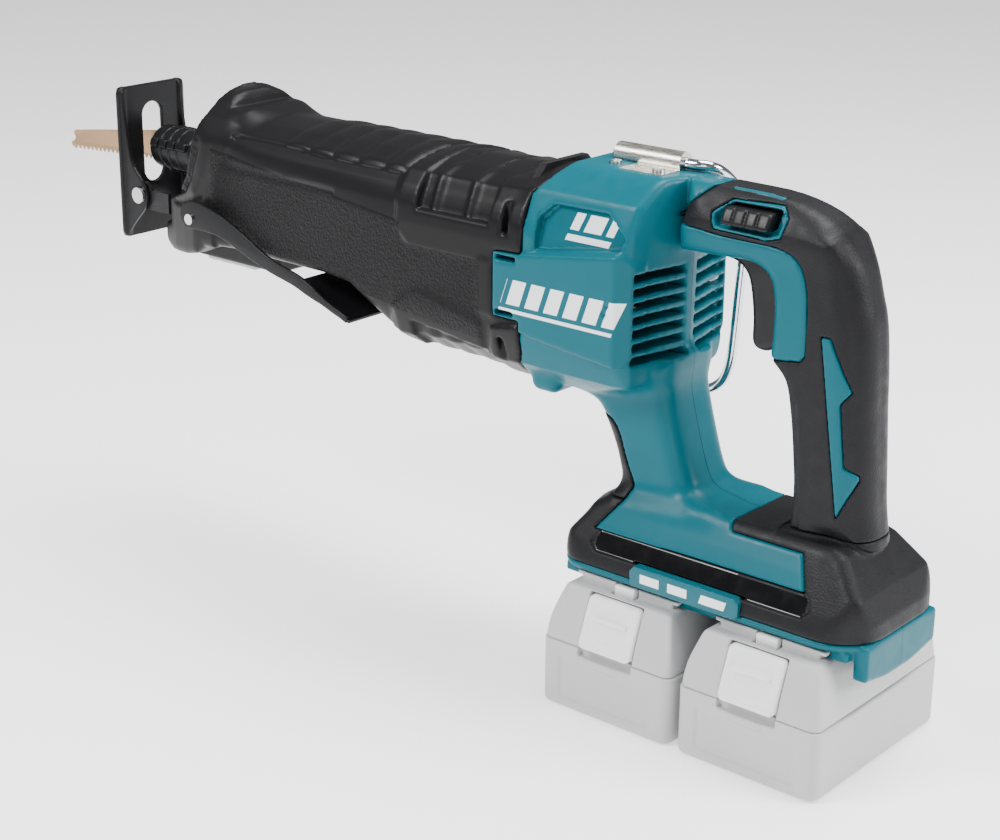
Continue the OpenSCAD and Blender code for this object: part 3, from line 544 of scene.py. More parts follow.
GRIP_REGION = ([(-38.5, 244.4), (-15.5, 263.5), (-14, 300), (200, 300), (200, 111), (-4, 111),
                (-4, 186), (22, 188.2), (34.5, 190)]
               + curve([(37.2, 193), (37, 210), (35.4, 226), (30, 236.5), (20, 240)])
               + [(-9, 240.4), (-35, 242.6)])
BUMPER_REGION = curve([(-92, 147), (-80, 143.5), (-68, 141), (-62, 136), (-57.5, 124),
                       (-51, 110)]) + [(-53, 104), (-100, 104)]
BASE_REGION = [(-100, 72), (100, 72), (100, 111), (7, 111), (9, 104.4), (48, 104.4), (55, 89.3),
               (-64, 89), (-53, 104), (-100, 104)]
INSERT = [(45, 204), (50, 204), (61, 181), (56.5, 175), (60, 146), (67, 142), (58, 121)]
RECESS = [(-14.5, 249.5), (-6.5, 255.3), (18, 255.8), (21.5, 252), (20.5, 245.5), (14, 243.6),
          (-13, 244.4)]


def motor_form(g):
    """The motor end, with its proud lower panel and sunk upper one."""
    side = outline(MOTOR_SIDE, g.x, g.z)
    plan = plan_of(MOTOR_PLAN, g)
    section = section_of(MOTOR_SECTION, g)
    body = meet(meet(side, section, 5), plan, 3.5)
    shell = np.maximum(plan, -6)
    # The main panel stands proud of the upper one, which is sunk in a frame
    main = outline(MAIN_PANEL, g.x, g.z)
    body = join(body, meet(meet(main, shell - 1.0, 0.8), slab(np.abs(g.y), 30, 60)), 0.8)
    upper = outline(UPPER_PANEL, g.x, g.z)
    body = cut(body, meet(upper, slab(np.abs(g.y), 38.6 - 0.28 * (g.z - 222), 60)), 1.6)
    # Screw lug under the front
    body = join(body, meet(brick(g, (-109, -31, 148.6), (-92, 31, 178), 5),
                           slab(np.abs(g.y), 14, 60)), 3)
    return body


def neck_form(g):
    """The front column between the motor end and the base."""
    side = outline(curve(NECK_FRONT) + curve(NECK_REAR)[::-1], g.x, g.z)
    return meet(side, np.abs(g.y) - 20, 11)


def grip_form(g):
    """The closed handle: the arm over the trigger and the grip behind it."""
    side = outline(curve(GRIP_FRONT) + curve(GRIP_REAR)[::-1], g.x, g.z)
    section = section_of(ARM_SECTION, g)
    half = np.abs(g.y) - 17.4 - 1.6 * ramp(g.z, 228, 244)
    back = np.maximum(ramp(g.x, 36, 56), ramp(g.z, 238, 252))
    body = round_meet(side, half, 6) * (1 - back) + round_meet(side, half, 15) * back
    return meet(body, section, 4)


def base_form(g):
    """The base over the packs, square at the front and rounder at the rear."""
    side = outline(BASE_SIDE, g.x, g.z)
    section = section_of(BASE_SECTION, g)
    front = upright_box(g, (-84, -41.5, 0), (89, 41.5, 300), 18, 0.1)
    rear = upright_box(g, (-84.5, -41.5, 0), (89, 41.5, 300), 28, 0.1)
    return meet(meet(side, section, 5), np.where(g.x < 0, front, rear), 3)


def body_form(g):
    """The whole moulded body before it is split by colour."""
    body = join(motor_form(g), neck_form(g), 9)
    body = join(body, grip_form(g), 6)
    base = base_form(g)
    return np.where(g.x < 30, join(body, base, 11), join(body, base, 5))


def trigger_way(g):
    """Room for the trigger through the underside of the arm."""
    return brick(g, (-18, -9.2, 186.5), (28, 9.2, 236.5), 1)


def lock_way(g):
    """Slot right through the arm, where the lock-off bar slides."""
    return brick(g, (-9.2, -40, 246), (16.4, 40, 254.4), 1)


def lock_recess(g, grow):
    """The framed recess on both sides of the arm, grown by the given amount."""
    return meet(outline(RECESS, g.x, g.z) - grow, slab(np.abs(g.y), 4, 60))


class Mirror:
    """The same grid with its Y taken as a distance from the middle plane."""

    def __init__(self, g):
        self.x, self.y, self.z = g.x, np.abs(g.y), g.z


def vents(g):
    """Air slots that run round the corner of the motor end."""
    slots = np.float32(1e9)
    for i in range(7):
        middle = 178 + i * 6.6
        one = brick(g, (-62, 4, middle - 1.75), (-30, 34, middle + 1.75), 0.8)
        flare = brick(g, (-46, 24, middle - 2.3), (-30, 36.5, middle + 1.75), 0.8)
        slots = join(slots, join(one, flare))
    return slots


def pack_ways(g):
    """T-shaped ways in the base that the packs' tongues slide along."""
    ways = np.float32(1e9)
    for x in (-PACK_X, PACK_X):
        wide = brick(g, (x - 30.4, -60, 64.2), (x + 30.4, 39, 66.7))
        stem = brick(g, (x - 27.4, -60, 60), (x + 27.4, 39, 66))
        ways = join(ways, join(wide, stem))
    return ways


def top_strip(g):
    """The small bare strip let into the top of the arm."""
    return meet(slab(g.x, -11, 17), meet(slab(g.y, -8.2, -5.2), 255 - g.z))


def housing():
    """The teal plastic that shows between the black covers."""
    g = Grid((-124, -45, 49), (91, 45, 266), 1.15)
    form = body_form(g)
    dark = join(outline(GRIP_REGION, g.x, g.z), outline(BUMPER_REGION, g.x, g.z))
    dark = join(dark, outline(BASE_REGION, g.x, g.z))
    front = outline(BOOT_REAR, g.x, g.z)
    body = meet(cut(meet(form, SEAM - dark, 0.5), trigger_way(g), 0.8), SEAM - front, 0.5)
    rim = meet(meet(form - 0.2, lock_recess(g, 1.5), 0.4), -form - 9)
    body = join(join(body, meet(form - 0.1, top_strip(g))), rim)
    body = cut(body, meet(lock_recess(g, 0), -form - 4), 0.6)
    body = cut(body, lock_way(g), 0.3)
    # Skirt, plinth and rear flap
    body = join(body, meet(base_form(g), slab(g.z, SKIRT_Z, 71.85), 0.8))
    body = join(body, brick(g, (-80, -35.2, 62.8), (79.8, 36, 68), 1))
    flap = meet(slab(g.x, 80.4, 87.5), slab(g.y, -31, 31))
    flap = meet(flap, slab(g.z, 51 + 3.0 * ramp(np.abs(g.y), 8, 31), 71), 1.5)
    body = join(body, flap, 0.6)
    body = cut(body, pack_ways(g))
    body = cut(body, vents(Mirror(g)), 0.5)
    # Slots of the front tab and the small screw boss
    tab = join(brick(g, (-121, -60, 214.6), (-108.5, 60, 217), 0.8),
               brick(g, (-121.5, -60, 187.6), (-110, 60, 190.2), 0.8))
    body = cut(body, meet(tab, 36 - np.abs(g.y)), 0.3)
    ring = np.sqrt((g.x + 53.5) ** 2 + (g.z - 202) ** 2)
    body = cut(body, meet(np.abs(ring - 2.4) - 0.5, 42.6 - np.abs(g.y)), 0.3)
    place(skin("housing", g, body), "tool", "teal_plastic", "housing_left", "housing_right")


def grip_cover():
    """The soft cover of arm and grip, the side inserts and the lock-off bar."""
    g = Grid((-42, -22, 108), (78, 22, 266), 0.75)
    form = body_form(g)
    body = meet(form, outline(GRIP_REGION, g.x, g.z) + SEAM, 0.5)
    body = cut(body, trigger_way(g), 0.8)
    body = cut(body, meet(lock_recess(g, 1.7), -form - 9.3), 0.4)
    body = cut(body, lock_way(g), 0.3)
    body = cut(body, top_strip(g))
    body = cut(body, meet(outline(INSERT, g.x, g.z) - SEAM, 11.5 - np.abs(g.y)), 0.4)
    # Smooth lower front strip with a shallow step
    step = outline([(20, 100), (40, 100), (38, 128), (36.5, 150), (34, 172), (20, 178)], g.x, g.z)
    body = cut(body, meet(step, 16.4 - np.abs(g.y)), 0.8)
    place(skin("grip_cover", g, body), "tool", "soft_black", "grip_overmold")
    insert = meet(meet(form - 0.5, outline(INSERT, g.x, g.z) + SEAM, 0.9), 12 - np.abs(g.y))
    place(skin("side_inserts", g, insert), "tool", "teal_plastic", "grip_inserts")
    reach = np.where(g.y < 0, form - 2.6, form + 1.5)
    button = meet(meet(reach, slab(g.x, -8.8, 16), 0.9), slab(g.z, 246.4, 254), 1.2)
    for i in range(3):
        button = cut(button, meet(slab(g.x, -3.4 + i * 6.3, -2.4 + i * 6.3), -0.8 - reach), 0.5)
    place(skin("lock_off", g, button), "lock_off", "black_plastic", "lock_off_button")


def base_cover():
    """The black cover of the base, with its gloss band and the badge plate."""
    g = Grid((-92, -44, 70), (92, 44, 112), 0.8)
    form = body_form(g)
    body = meet(form, outline(BASE_REGION, g.x, g.z) + SEAM, 0.5)
    # Sunk gloss band, and the seat of the badge
    band = outline([(-60, 79.3), (56, 79.3), (60, 83), (57, 88.8), (-60, 88.8), (-64, 83)],
                   g.x, g.z)
    side = slab(np.abs(g.y), 41.3 - 0.46 * (g.z - 73) - 0.9, 60)
    body = cut(body, meet(band, side), 0.4)
    body = cut(body, meet(slab(g.x, -37, 26), meet(slab(g.z, 69, 80.2), -39.2 - g.y + 2)))
    obj = place(skin("base_cover", g, body), "tool", "soft_black", "base_overmold")
    obj.data.materials.append(MATERIALS["gloss_black"])
    for face in obj.data.polygons:
        x = face.center.x / MM - SHIFT_X
        z = face.center.z / MM
        if -61 < x < 57 and 79.7 < z < 88.4 and abs(face.normal.y) > 0.75:
            face.material_index = 1
    plate = [(-36, 69.6), (23, 69.6), (25.5, 72), (25.5, 78), (23, 80), (-34, 80), (-36.5, 77)]
    place(prism("badge", plate, -42.3, -37, 0.6), "tool", "teal_plastic", "badge_plate", look="badge")


def bumper():
    """The black bumper down the front of the neck."""
    g = Grid((-96, -24, 102), (-46, 24, 150), 0.7)
    form = body_form(g) - 0.2
    body = meet(form, outline(BUMPER_REGION, g.x, g.z) + SEAM, 0.8)
    body = meet(body, slab(g.x, -86, -40), 1)
    place(skin("bumper", g, body), "tool", "soft_black", "neck_bumper")


# ---------- rubber boot ----------

BOOT_REAR = [(-450, 100), (-111, 100), (-111, 160), (-107.5, 170), (-106.5, 186.3),
             (-122.8, 186.8), (-122.8, 218.4), (-106, 219.2), (-105.6, 247), (-99, 256),
             (-88, 267), (-88, 320), (-450, 320)]
# Front rim of the boot, from the hood down to the chin
RIM = [(-337, 272), (-341, 260), (-345, 245), (-349, 232), (-354, 219), (-362, 209), (-384, 201)]
BOOT_SIDE = ([(-86, 149), (-110, 150.5), (-136, 151.5), (-150, 154.5), (-180, 157),
              (-196, 163), (-208, 171),
              (-225, 180.5), (-245, 182), (-300, 181.5), (-338, 180.5), (-346, 175),
              (-358, 172), (-374, 170.5), (-385, 174), (-391, 182), (-391, 191)]
             + RIM[:0:-1]
             + [(-340, 266), (-334, 267.5), (-328.5, 264), (-324.5, 258.5), (-315, 258),
                (-302, 254.5), (-290, 254), (-262, 254), (-222, 255), (-180, 254),
                (-140, 254), (-110, 256), (-86, 262)])
BOOT_PLAN = [(-86, 41.8), (-190, 41.5), (-294, 37.5), (-318, 35.5), (-328, 36.5), (-346, 35),
             (-356, 32.5), (-368, 29), (-381, 24), (-389, 17), (-391, 8)]
BOOT_SECTION = [(14, 150), (24, 155.5), (36, 164), (43, 182), (43, 223), (41, 232), (37, 240),
                (31, 247), (18, 251.5), (8, 254), (1, 256)]
FLANGE_SECTION = [(30, 158), (38, 172), (38, 226), (36, 240), (29, 252), (20, 261),
                  (9, 267.5), (2, 272)]
VALLEYS = [-274, -256, -239, -220.5, -202, -187, -164.5, -141.5, -125, -104]


def rim_strip(g, near, wide):
    """The band that lies between two distances behind the boot's front rim."""
    return outline([(x + near, z) for x, z in RIM] + [(x + wide, z) for x, z in RIM[::-1]],
                   g.x, g.z)


def boot_core(g):
    """The boot's bulk before its ribs, panels and openings."""
    side = outline(BOOT_SIDE, g.x, g.z)
    plan = plan_of(BOOT_PLAN, g)
    behind = ramp(g.x, -322, -300)
    at_back = ramp(g.x, -116, -94)
    section = (section_of(FLANGE_SECTION, g) * (1 - behind)
               + section_of(BOOT_SECTION, g) * behind) * (1 - at_back)
    section = section + section_of(MOTOR_SECTION, g) * at_back
    return meet(meet(side, plan, 4.5), section, 4), side, plan, section


def gear_case():
    """The alloy case inside the boot, seen only through the mouth."""
    g = Grid((-376, -38, 152), (-116.9, 38, 258), 1.5)
    body = meet(boot_core(g)[0] + 5.8, slab(g.x, -374, -117.1), 1)
    body = cut(body, rod_x(g, 0, ROD_Z, 18, -390, -322, 0))
    body = cut(body, brick(g, (-390, -25, 203), (-330, 25, 243), 1))
    body = cut(body, rod_x(g, 0, ROD_Z, 7.8, -330, -200, 0))
    body = cut(body, brick(g, (-292, -27, 198), (-250, 27, 244), 1))
    body = cut(body, brick(g, (-220, -30, 188), (-131, 30, 240), 1))
    body = cut(body, brick(g, (-380, -18.4, 187), (-256, 18.4, 192.6), 0))
    body = cut(body, brick(g, (-367, -15.4, 150), (-299.5, 15.4, 181.3), 0))
    body = cut(body, rod_x(g, 0, MOTOR_Z, 10.2, -160, -110, 0))
    body = cut(body, rod_y(g, -341, 197, 3.2, -60, 60))
    place(skin("gear_case", g, body), "tool", "alloy", "gear_housing")
    lid = brick(g, (-213.9, -24, 242.1), (-128.1, 24, 246.5), 1.5)
    place(skin("case_lid", g, lid), "tool", "alloy", "gear_cover")


def boot():
    """The rubber boot: ribbed top, grained sides, window frame, rim and mouth."""
    g = Grid((-395, -45, 146), (-88, 45, 270), 1.3)
    core, side, plan, section = boot_core(g)
    body = core
    width = np.abs(g.y)
    # Cross ribs over the top, with sharp valleys between them
    phase = np.interp(g.x, VALLEYS, np.arange(len(VALLEYS)), left=0, right=len(VALLEYS) - 1)
    strong = ramp(g.x, -208, -180)
    swell = np.abs(np.sin(np.pi * phase)) ** 0.5 * (1.1 + 1.6 * strong)
    top = ramp(g.z, 241.5, 249)
    body = body - (swell - 1.5 * strong) * top
    # Flat grained side panel, sunk under its top line
    panel = outline([(-313, 245.6), (-236, 244.4), (-189.5, 243.6), (-188, 222), (-196, 150),
                     (-330, 180), (-324, 222)], g.x, g.z)
    shell = meet(meet(side, plan, 7), section, 4)
    body = cut(body, meet(panel, -shell - 1.0), 0.8)
    line = outline([(-321, 230.6), (-234, 229.2), (-233, 227.4), (-321, 226.6)], g.x, g.z)
    body = cut(body, meet(line, -plan - 2.2), 1.2)
    # Raised window frame; the ribs run down into it and taper off as bars
    framed = outline([(-186.5, 251), (-187, 219), (-178.5, 211.5), (-100, 211.5), (-100, 251)],
                     g.x, g.z)
    body = join(body, meet(framed, shell - 1.3, 1.0), 1.0)
    hole = outline([(-173.5, 262), (-173.5, 230.5), (-127, 230.5), (-127, 262)], g.x, g.z)
    depth = 2.4 * (1 - ramp(g.z, 237, 248.5))
    bars = np.interp(g.x, [-166.5, -164.5, -160, -144.5, -142.5, -138], [0, 1, 0, 0, 1, 0])
    body = cut(body, meet(hole, -shell - depth + 1.6 * bars), 0.8)
    # Lower panel, its rear post and the flange at the back
    low = outline([(-191.5, 150), (-190.5, 178), (-176, 188.5), (-170, 189), (-131, 180.5),
                   (-131, 140)], g.x, g.z)
    body = join(body, meet(meet(meet(low, plan - 1.2, 1.5), section - 1.0, 3), side - 1.0), 1.5)
    sunk = outline([(-179, 172), (-131, 165.5), (-131, 150), (-179, 150)], g.x, g.z)
    grooves = 0.8 * np.abs(np.sin(np.pi * g.x / 13.5))
    body = cut(body, meet(sunk, -section - 1.6 + grooves), 0.8)
    post = outline([(-134.5, 185), (-134.5, 211), (-131, 213.5), (-124, 213.5), (-122, 185)],
                   g.x, g.z)
    tail = outline([(-128, 140), (-128.5, 168), (-125, 180), (-100, 185), (-100, 140)], g.x, g.z)
    for raised in (post, tail):
        raised = meet(meet(raised, plan - 1.7, 1.2), side - 1.4)
        body = join(body, meet(raised, section - 1.2, 3), 1.0)
    slots = join(brick(g, (-118.6, -60, 227), (-114.6, 60, 242), 1.5),
                 brick(g, (-121.5, -60, 163.5), (-117.5, 60, 175.5), 1.5))
    body = cut(body, meet(slots, 36 - width), 0.3)
    # Two steps behind the front rim, the small hood boss, and the mouth
    groove = rim_strip(g, 4.5, 8.5)
    body = cut(body, meet(groove, -meet(side, plan, 7) - 1.4), 1.5)
    behind_band = rim_strip(g, 17, 24)
    body = cut(body, meet(behind_band, -meet(side, plan, 7) - 0.8), 2.5)
    body = join(body, rod_x(g, -14, 251, 4.5, -352, -335, 2), 1)
    body = cut(body, meet(rim_strip(g, -60, 2.5), width - 29, 3), 1.2)
    body = cut(body, brick(g, (-450, -26, 184), (-339, 26, 247), 6), 1.5)
    # The case's room, and the way the sleeve strokes back into
    body = cut(body, meet(core + 5.4, slab(g.x, -376, -116)))
    body = cut(body, rod_x(g, 0, ROD_Z, 20, -345, -318))
    body = cut(body, brick(g, (-366.4, -15.3, 150), (-300, 15.3, 181.2), 0.5), 0.5)
    body = meet(body, outline(BOOT_REAR, g.x, g.z) + SEAM, 0.8)
    body = cut(body, rod_y(g, -341, 197, 3.4, -60, 60), 0.3)
    place(skin("boot", g, body), "tool", "boot_rubber", "rubber_boot")


# ---------- front end ----------

def nose_sleeve():
    """The blade clamp's turning sleeve, with three grip ribs and a round mouth."""
    g = Grid((-409, -16, 205), (-372, 16, 240), 0.45)
    body = rod_x(g, 0, ROD_Z, 12.3, -408, -372.5, 3.5)
    for angle in (70, 190, 310):
        turn = math.radians(angle)
        along = (g.y * -math.sin(turn) + (g.z - ROD_Z) * math.cos(turn))
        across = g.y * math.cos(turn) + (g.z - ROD_Z) * math.sin(turn)
        rib = meet(meet(np.abs(across) - 2.5, slab(along, 6, 14.6), 1.2),
                   slab(g.x, -405, -375), 1.5)
        body = join(body, rib, 1)
    for x in (-398, -391, -384):
        body = cut(body, meet(slab(g.x, x - 0.5, x + 0.5), 11.8 - radius(g)), 0.3)
    body = cut(body, rod_x(g, 0, ROD_Z, 8.4, -404.5, -370))
    body = cut(body, rod_x(g, 0, ROD_Z, 9.7, -412, -403), 0.4)
    place(skin("nose_sleeve", g, body), "sleeve", "black_steel", "clamp_sleeve")


def radius(g):
    return np.sqrt(g.y ** 2 + (g.z - ROD_Z) ** 2)


def shoe():
    """The shoe plate with its window and two turned side flanges."""
    g = Grid((-421, -25.5, 169), (-396, 25.5, 258.5), 0.45)
    rim = outline([(-27, 0), (-24.5, 257), (24.5, 257), (27, 0)], g.y, g.z)
    plate = meet(meet(slab(g.x, -420, -417.6), slab(g.y, -24.5, 24.5)), slab(g.z, 170, 257))
    corners = upright_plate(g, 24.5, 170, 257, 5)
    plate = meet(meet(plate, rim), corners, 0.5)
    slot = join(meet(slab(g.y, -7.2, 7.2), slab(g.z, 205, 239)),
                join(disc(g, 0, 239, 7.2), disc(g, 0, 207, 7.2)))
    plate = cut(plate, slot, 0.5)
    flange = outline(curve([(-419.8, 256), (-417, 254), (-416, 240), (-411.5, 216),
                            (-403, 205.5), (-399, 197), (-403, 188.5), (-411, 180),
                            (-417, 173), (-419.8, 171)]), g.x, g.z)
    sides = meet(flange, slab(np.abs(g.y), 20.1, 22.5), 0.8)
    turned = join(plate, sides, 2.2)
    turned = cut(turned, rod_y(g, -405, 197, 3.1, -60, 60))
    place(skin("shoe", g, turned), "shoe", "black_steel", "shoe_plate")


def upright_plate(g, half, low, high, r):
    """A rectangle with rounded corners in the Y-Z plane."""
    py = np.abs(g.y) - half + r
    pz = np.maximum(low + r - g.z, g.z - high + r)
    return (np.sqrt(np.maximum(py, 0) ** 2 + np.maximum(pz, 0) ** 2)
            + np.minimum(np.maximum(py, pz), 0) - r)


def disc(g, y, z, r):
    return np.sqrt((g.y - y) ** 2 + (g.z - z) ** 2) - r


def blade_outline():
    """Tang, falling back edge, notched tip and hooked teeth along the lower edge."""
    tip = -492
    points = [(-379, 228.4), (-409, 228.4), (-412, 230.2), (-470, 222.5), (tip + 3, 219.8),
              (tip + 1.5, 218.4), (tip + 3.2, 215.6), (tip + 2.2, 213.6), (tip - 0.6, 212.4),
              (tip - 1.2, 210.4)]
    teeth = 20
    for i in range(teeth):
        t = i / teeth
        x = tip + 3 + 76 * t
        low = 208.6 + 4.2 * t
        points += [(x, low), (x + 0.9, low + 2.6), (x + 2.2, low + 2.3)]
    return points + [(-412, 213), (-409, 215.6), (-379, 215.6)]


def blade():
    flat = prism("blade", blade_outline(), -0.6, 0.6, 0.12, 1)
    place(flat, "plunger", "blade_coat", "blade")


LEVER_TOP = [(-349, 196), (-348, 203), (-341, 207), (-333, 207), (-316, 202.5), (-300, 196),
             (-288, 190), (-276, 185), (-259, 181), (-250, 177.5), (-238, 171), (-222, 165)]
LEVER_LOW = [(-223, 161.5), (-234, 166), (-250, 170.5), (-262, 174.5), (-281, 178.8), (-300, 185),
             (-318, 191), (-334, 192), (-345, 191.5)]
LEVER_WEB = [(-262, 175), (-250, 171), (-238, 166.6), (-228, 163.2), (-221, 161.6)]


def lever():
    """The shoe's release lever: an arm down each side, joined by a web below."""
    side = curve(LEVER_TOP, 5) + curve(LEVER_LOW, 5)
    arms = [prism("arm", side, y, y + 1.8, 0.5) for y in (-41.6, 39.8)]
    web = curve(LEVER_WEB, 5)
    web = web + [(x + 0.4, z + 1.8) for x, z in reversed(web)]
    arms.append(prism("web", web, -41.2, 41.2, 0.5))
    place(merged("lever", arms), "lever", "black_steel", "shoe_lever")


def lamp():
    """The lamp under the nose and its ribbed lens."""
    g = Grid((-367, -16, 163), (-299, 16, 182), 0.5)
    shell = brick(g, (-366, -15, 168), (-300, 15, 181), 1.5)
    shell = cut(shell, brick(g, (-362.2, -12.2, 160), (-321.8, 12.2, 177)), 0.3)
    place(skin("lamp_case", g, shell), "tool", "black_plastic", "lamp_housing")
    glass = brick(g, (-361.8, -11.8, 165), (-322.2, 11.8, 172), 1.6)
    for x in (-352, -342, -332):
        glass = cut(glass, meet(slab(g.x, x - 0.8, x + 0.8), g.z - 166), 0.6)
    place(skin("lamp_glass", g, glass), "tool", "lens_grey", "lamp_lens")


# ---------- hook, trigger and packs ----------

TRIGGER = [(-15.5, 228), (-14, 234.5), (-8, 234.5), (6, 232.6), (20, 228.6), (21.5, 214),
           (20, 196), (13, 188.5), (6, 188), (2.8, 192), (2.6, 202), (1, 214), (-1.5, 222),
           (-7, 226.6)]
# Middle of the hook's wire, from its bearing in the bracket to its free end
HOOK_PATH = [(-87, 5, 264.5), (-60, 5, 264.5), (-42, 5, 264.5), (-36, 7.5, 264.2),
             (-32.5, 14, 261.5), (-32, 24, 254.5), (-33, 34, 246), (-35.5, 41.5, 236),
             (-37.5, 45, 222), (-39.5, 45.6, 200), (-41.5, 45.6, 172), (-43.5, 45.6, 157),
             (-48, 45.6, 147), (-57, 45.6, 141.2), (-68, 45.6, 140), (-88, 45.6, 140)]


def hook():
    """The folded hook: one bent wire swept along a smooth path."""
    path = np.array(curve_3d(HOOK_PATH, 6))
    points, faces = [], []
    across = np.array([0.0, 0.0, 1.0])
    for i, middle in enumerate(path):
        along = path[min(i + 1, len(path) - 1)] - path[max(i - 1, 0)]
        along /= np.linalg.norm(along)
        across = across - along * across.dot(along)
        across /= np.linalg.norm(across)
        other = np.cross(along, across)
        reach = WIRE_R * (0.68 if i in (0, len(path) - 1) else 1)
        for j in range(WIRE_SIDES):
            turn = 2 * math.pi * j / WIRE_SIDES
            points.append(middle + reach * (math.cos(turn) * across + math.sin(turn) * other))
    for ring in range(len(path) - 1):
        here = ring * WIRE_SIDES
        ahead = here + WIRE_SIDES
        for j in range(WIRE_SIDES):
            k = (j + 1) % WIRE_SIDES
            faces.append((here + j, here + k, ahead + k, ahead + j))
    bm = bmesh.new()
    verts = [bm.verts.new(p) for p in to_row(points)]
    for face in faces:
        bm.faces.new([verts[n] for n in face])
    bm.faces.new(verts[:WIRE_SIDES][::-1])
    bm.faces.new(verts[-WIRE_SIDES:])
    bmesh.ops.recalc_face_normals(bm, faces=bm.faces[:])
    place(finish_bmesh("hook", bm), "hook", "chrome_wire", "hook_wire")


def curve_3d(points, steps):
    flat = curve([(p[0], p[1]) for p in points], steps)
    height = curve([(p[0], p[2]) for p in points], steps)
    return [(a[0], a[1], b[1]) for a, b in zip(flat, height)]


def trigger():
    """The curved trigger lever."""
    g = Grid((-17, -9.5, 186), (23, 9.5, 237), 0.5)
    side = outline(curve(TRIGGER + TRIGGER[:1], 3), g.x, g.z)
    body = meet(side, np.abs(g.y) - 8.5, 4)
    body = cut(body, rod_y(g, -10, 232, 2.1, -20, 20))
    place(skin("trigger_lever", g, body), "trigger_body", "black_plastic", "trigger")


def slant(g):
    """Inside of the leaning plane over a pack's front shoulder."""
    return (-(g.y + 55.0) * 25 + (g.z - 36.5) * 9.5) / 26.7


def pack(name, x):
    """One battery pack about the given X: tub, sloped cover with its tongue, and button."""
    g = Grid((x - 39.5, -57.5, -0.5), (x + 39.5, 56, 67), 0.75)
    side = 0.8 + 7.0 * (np.maximum(g.z - 34.5, 0) / 28) ** 1.5
    inner = upright_box(g, (x - 38.5, -55, 0), (x + 38.5, 55, PACK_TOP), 5.5, 3)
    case = meet(inner, slab(g.z, 0, 34.45))
    # Panels let into the front and the ends, and a tab under the button
    case = cut(case, brick(g, (x - 27, -60, 6), (x + 27, -54.2, 27), 0.6), 1.2)
    case = join(case, brick(g, (x - 9, -55.6, 26.5), (x + 9, -50, 33.8), 1.2), 0.8)
    case = cut(case, brick(g, (x - 15.9, -60, 30.6), (x + 15.9, -51.6, 40), 0.8), 0.3)
    place(skin(name + "_case", g, case), name, "pack_grey", name + "_case")
    tall = upright_box(g, (x - 38.5, -55, 0), (x + 38.5, 55, 70), 5.5, 3)
    cover = meet(meet(tall + side, slab(g.z, 34.6, 66.4), 0.8), slant(g), 2)
    # The front lip rises to the tool's skirt; behind it the top lies under the plinth
    cover = cut(cover, meet(PACK_TOP - g.z, -35.9 - g.y))
    cover = join(cover, brick(g, (x - 26.8, -38, 60), (x + 26.8, 38, 64.7), 0.3))
    cover = join(cover, brick(g, (x - 29.8, -38, 64.6), (x + 29.8, 38, 66.4), 0.3))
    well = meet(slab(g.x, x - 15.9, x + 15.9), meet(-slant(g) - 4.7, slab(g.z, 28, 61.4)), 0.5)
    cover = cut(cover, well, 0.4)
    cover = cut(cover, brick(g, (x - 6.6, -41, 50), (x + 6.6, -35, 70)), 0.3)
    cover = cut(cover, brick(g, (x - 10.6, -54, 44), (x + 10.6, -35, 57.5)), 0.3)
    cover = cut(cover, brick(g, (x - 22.6, 15.4, PACK_TOP - 10), (x + 22.6, 60, 70)), 0.3)
    place(skin(name + "_cover", g, cover), name, "pack_grey", name + "_cover")
    button = meet(slab(g.x, x - 15.4, x + 15.4), slab(g.z, 36, 60.8), 3)
    button = meet(meet(button, slant(g) - 1.4, 1.2), -slant(g) - 2.4)
    dish = np.sqrt(((g.x - x) / 1.2) ** 2 + (g.z - 50) ** 2) - 10
    button = cut(button, meet(dish, 1 - slant(g)), 2)
    button = join(button, brick(g, (x - 6, -40, 56), (x + 6, -36, 66.2), 0.6))
    button = join(button, brick(g, (x - 10, -52, 50), (x + 10, -36, 52.5), 0.4))
    latch = name.split("_")[0] + "_latch"
    place(skin(name + "_release", g, button), latch, "button_white", name + "_button")


# ---------- the CAD's own meshes ----------

def dress_cad_nodes():
    """Gives the nodes that are still the CAD's own meshes their procedural finish."""
    slots = {row["node"]: row["material_slot"] for row in frame["record"]["subparts"]}
    for name, obj in frame["nodes"].items():
        obj.data.materials.clear()
        obj.data.materials.append(MATERIALS[slots[name]])
        soften = obj.modifiers.new("soft_edges", "BEVEL")
        soften.width = EDGE * MM
        soften.segments = 2
        soften.limit_method = "ANGLE"
        soften.angle_limit = math.radians(35)
        soften.harden_normals = False


# ---------- set, light and camera ----------

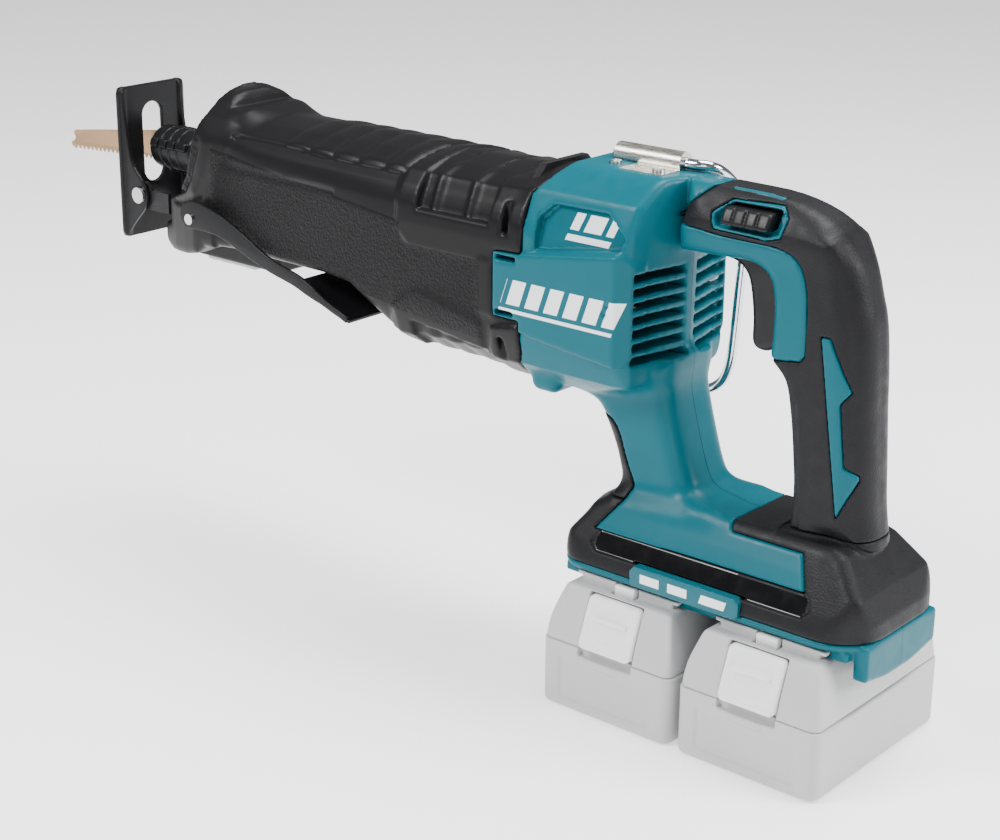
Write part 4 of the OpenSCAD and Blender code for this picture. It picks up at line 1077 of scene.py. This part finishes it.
def studio():
    """Pale floor, even sky and four soft lights."""
    bm = bmesh.new()
    bmesh.ops.create_grid(bm, x_segments=24, y_segments=24, size=4)
    floor = finish_bmesh("floor", bm)
    floor.location.z = -0.0005
    paper = plain("floor_paper", (0.88, 0.88, 0.88), 0.7, wear=0, spread=0.01)
    paper.bsdf.inputs["Emission Color"].default_value = (1, 1, 1, 1)
    paper.bsdf.inputs["Emission Strength"].default_value = 0.8
    floor.data.materials.append(paper.material)
    world = bpy.data.worlds.new("studio")
    world.use_nodes = True
    world.node_tree.nodes["Background"].inputs["Color"].default_value = (1, 1, 1, 1)
    world.node_tree.nodes["Background"].inputs["Strength"].default_value = 0.24
    bpy.context.scene.world = world
    for name, spot, size, power in (
            ("key", (-0.7, -1.0, 1.2), 0.6, 30), ("top", (0.1, 0.3, 1.6), 1.1, 52),
            ("rim", (1.0, 0.5, 0.7), 0.5, 16), ("fill", (0.9, -1.2, 0.35), 0.8, 5)):
        light = bpy.data.lights.new(name, "AREA")
        light.shape = "SQUARE"
        light.size = size
        light.energy = power
        lamp_object = bpy.data.objects.new(name, light)
        bpy.context.scene.collection.objects.link(lamp_object)
        lamp_object.location = spot
        aim = Vector((-0.15, 0, 0.17)) - Vector(spot)
        lamp_object.rotation_euler = aim.to_track_quat("-Z", "Y").to_euler()


def camera():
    """The camera, at the photographed angle."""
    data = bpy.data.cameras.new("camera")
    data.sensor_width = 36
    data.lens = 73.3
    obj = bpy.data.objects.new("camera", data)
    right, up, back = ((0.76169, 0.64788, 0.00842), (-0.22321, 0.25018, 0.94211),
                       (0.60828, -0.71948, 0.33518))
    turn = Matrix((right, up, back)).transposed()
    obj.matrix_world = Matrix.Translation((0.4481, -0.7590, 0.4677)) @ turn.to_4x4()
    bpy.context.scene.collection.objects.link(obj)
    bpy.context.scene.camera = obj


dress_cad_nodes()
housing()
grip_cover()
base_cover()
bumper()
gear_case()
boot()
nose_sleeve()
shoe()
blade()
lever()
lamp()
hook()
trigger()
pack("front_pack", -PACK_X)
pack("rear_pack", PACK_X)
studio()
camera()
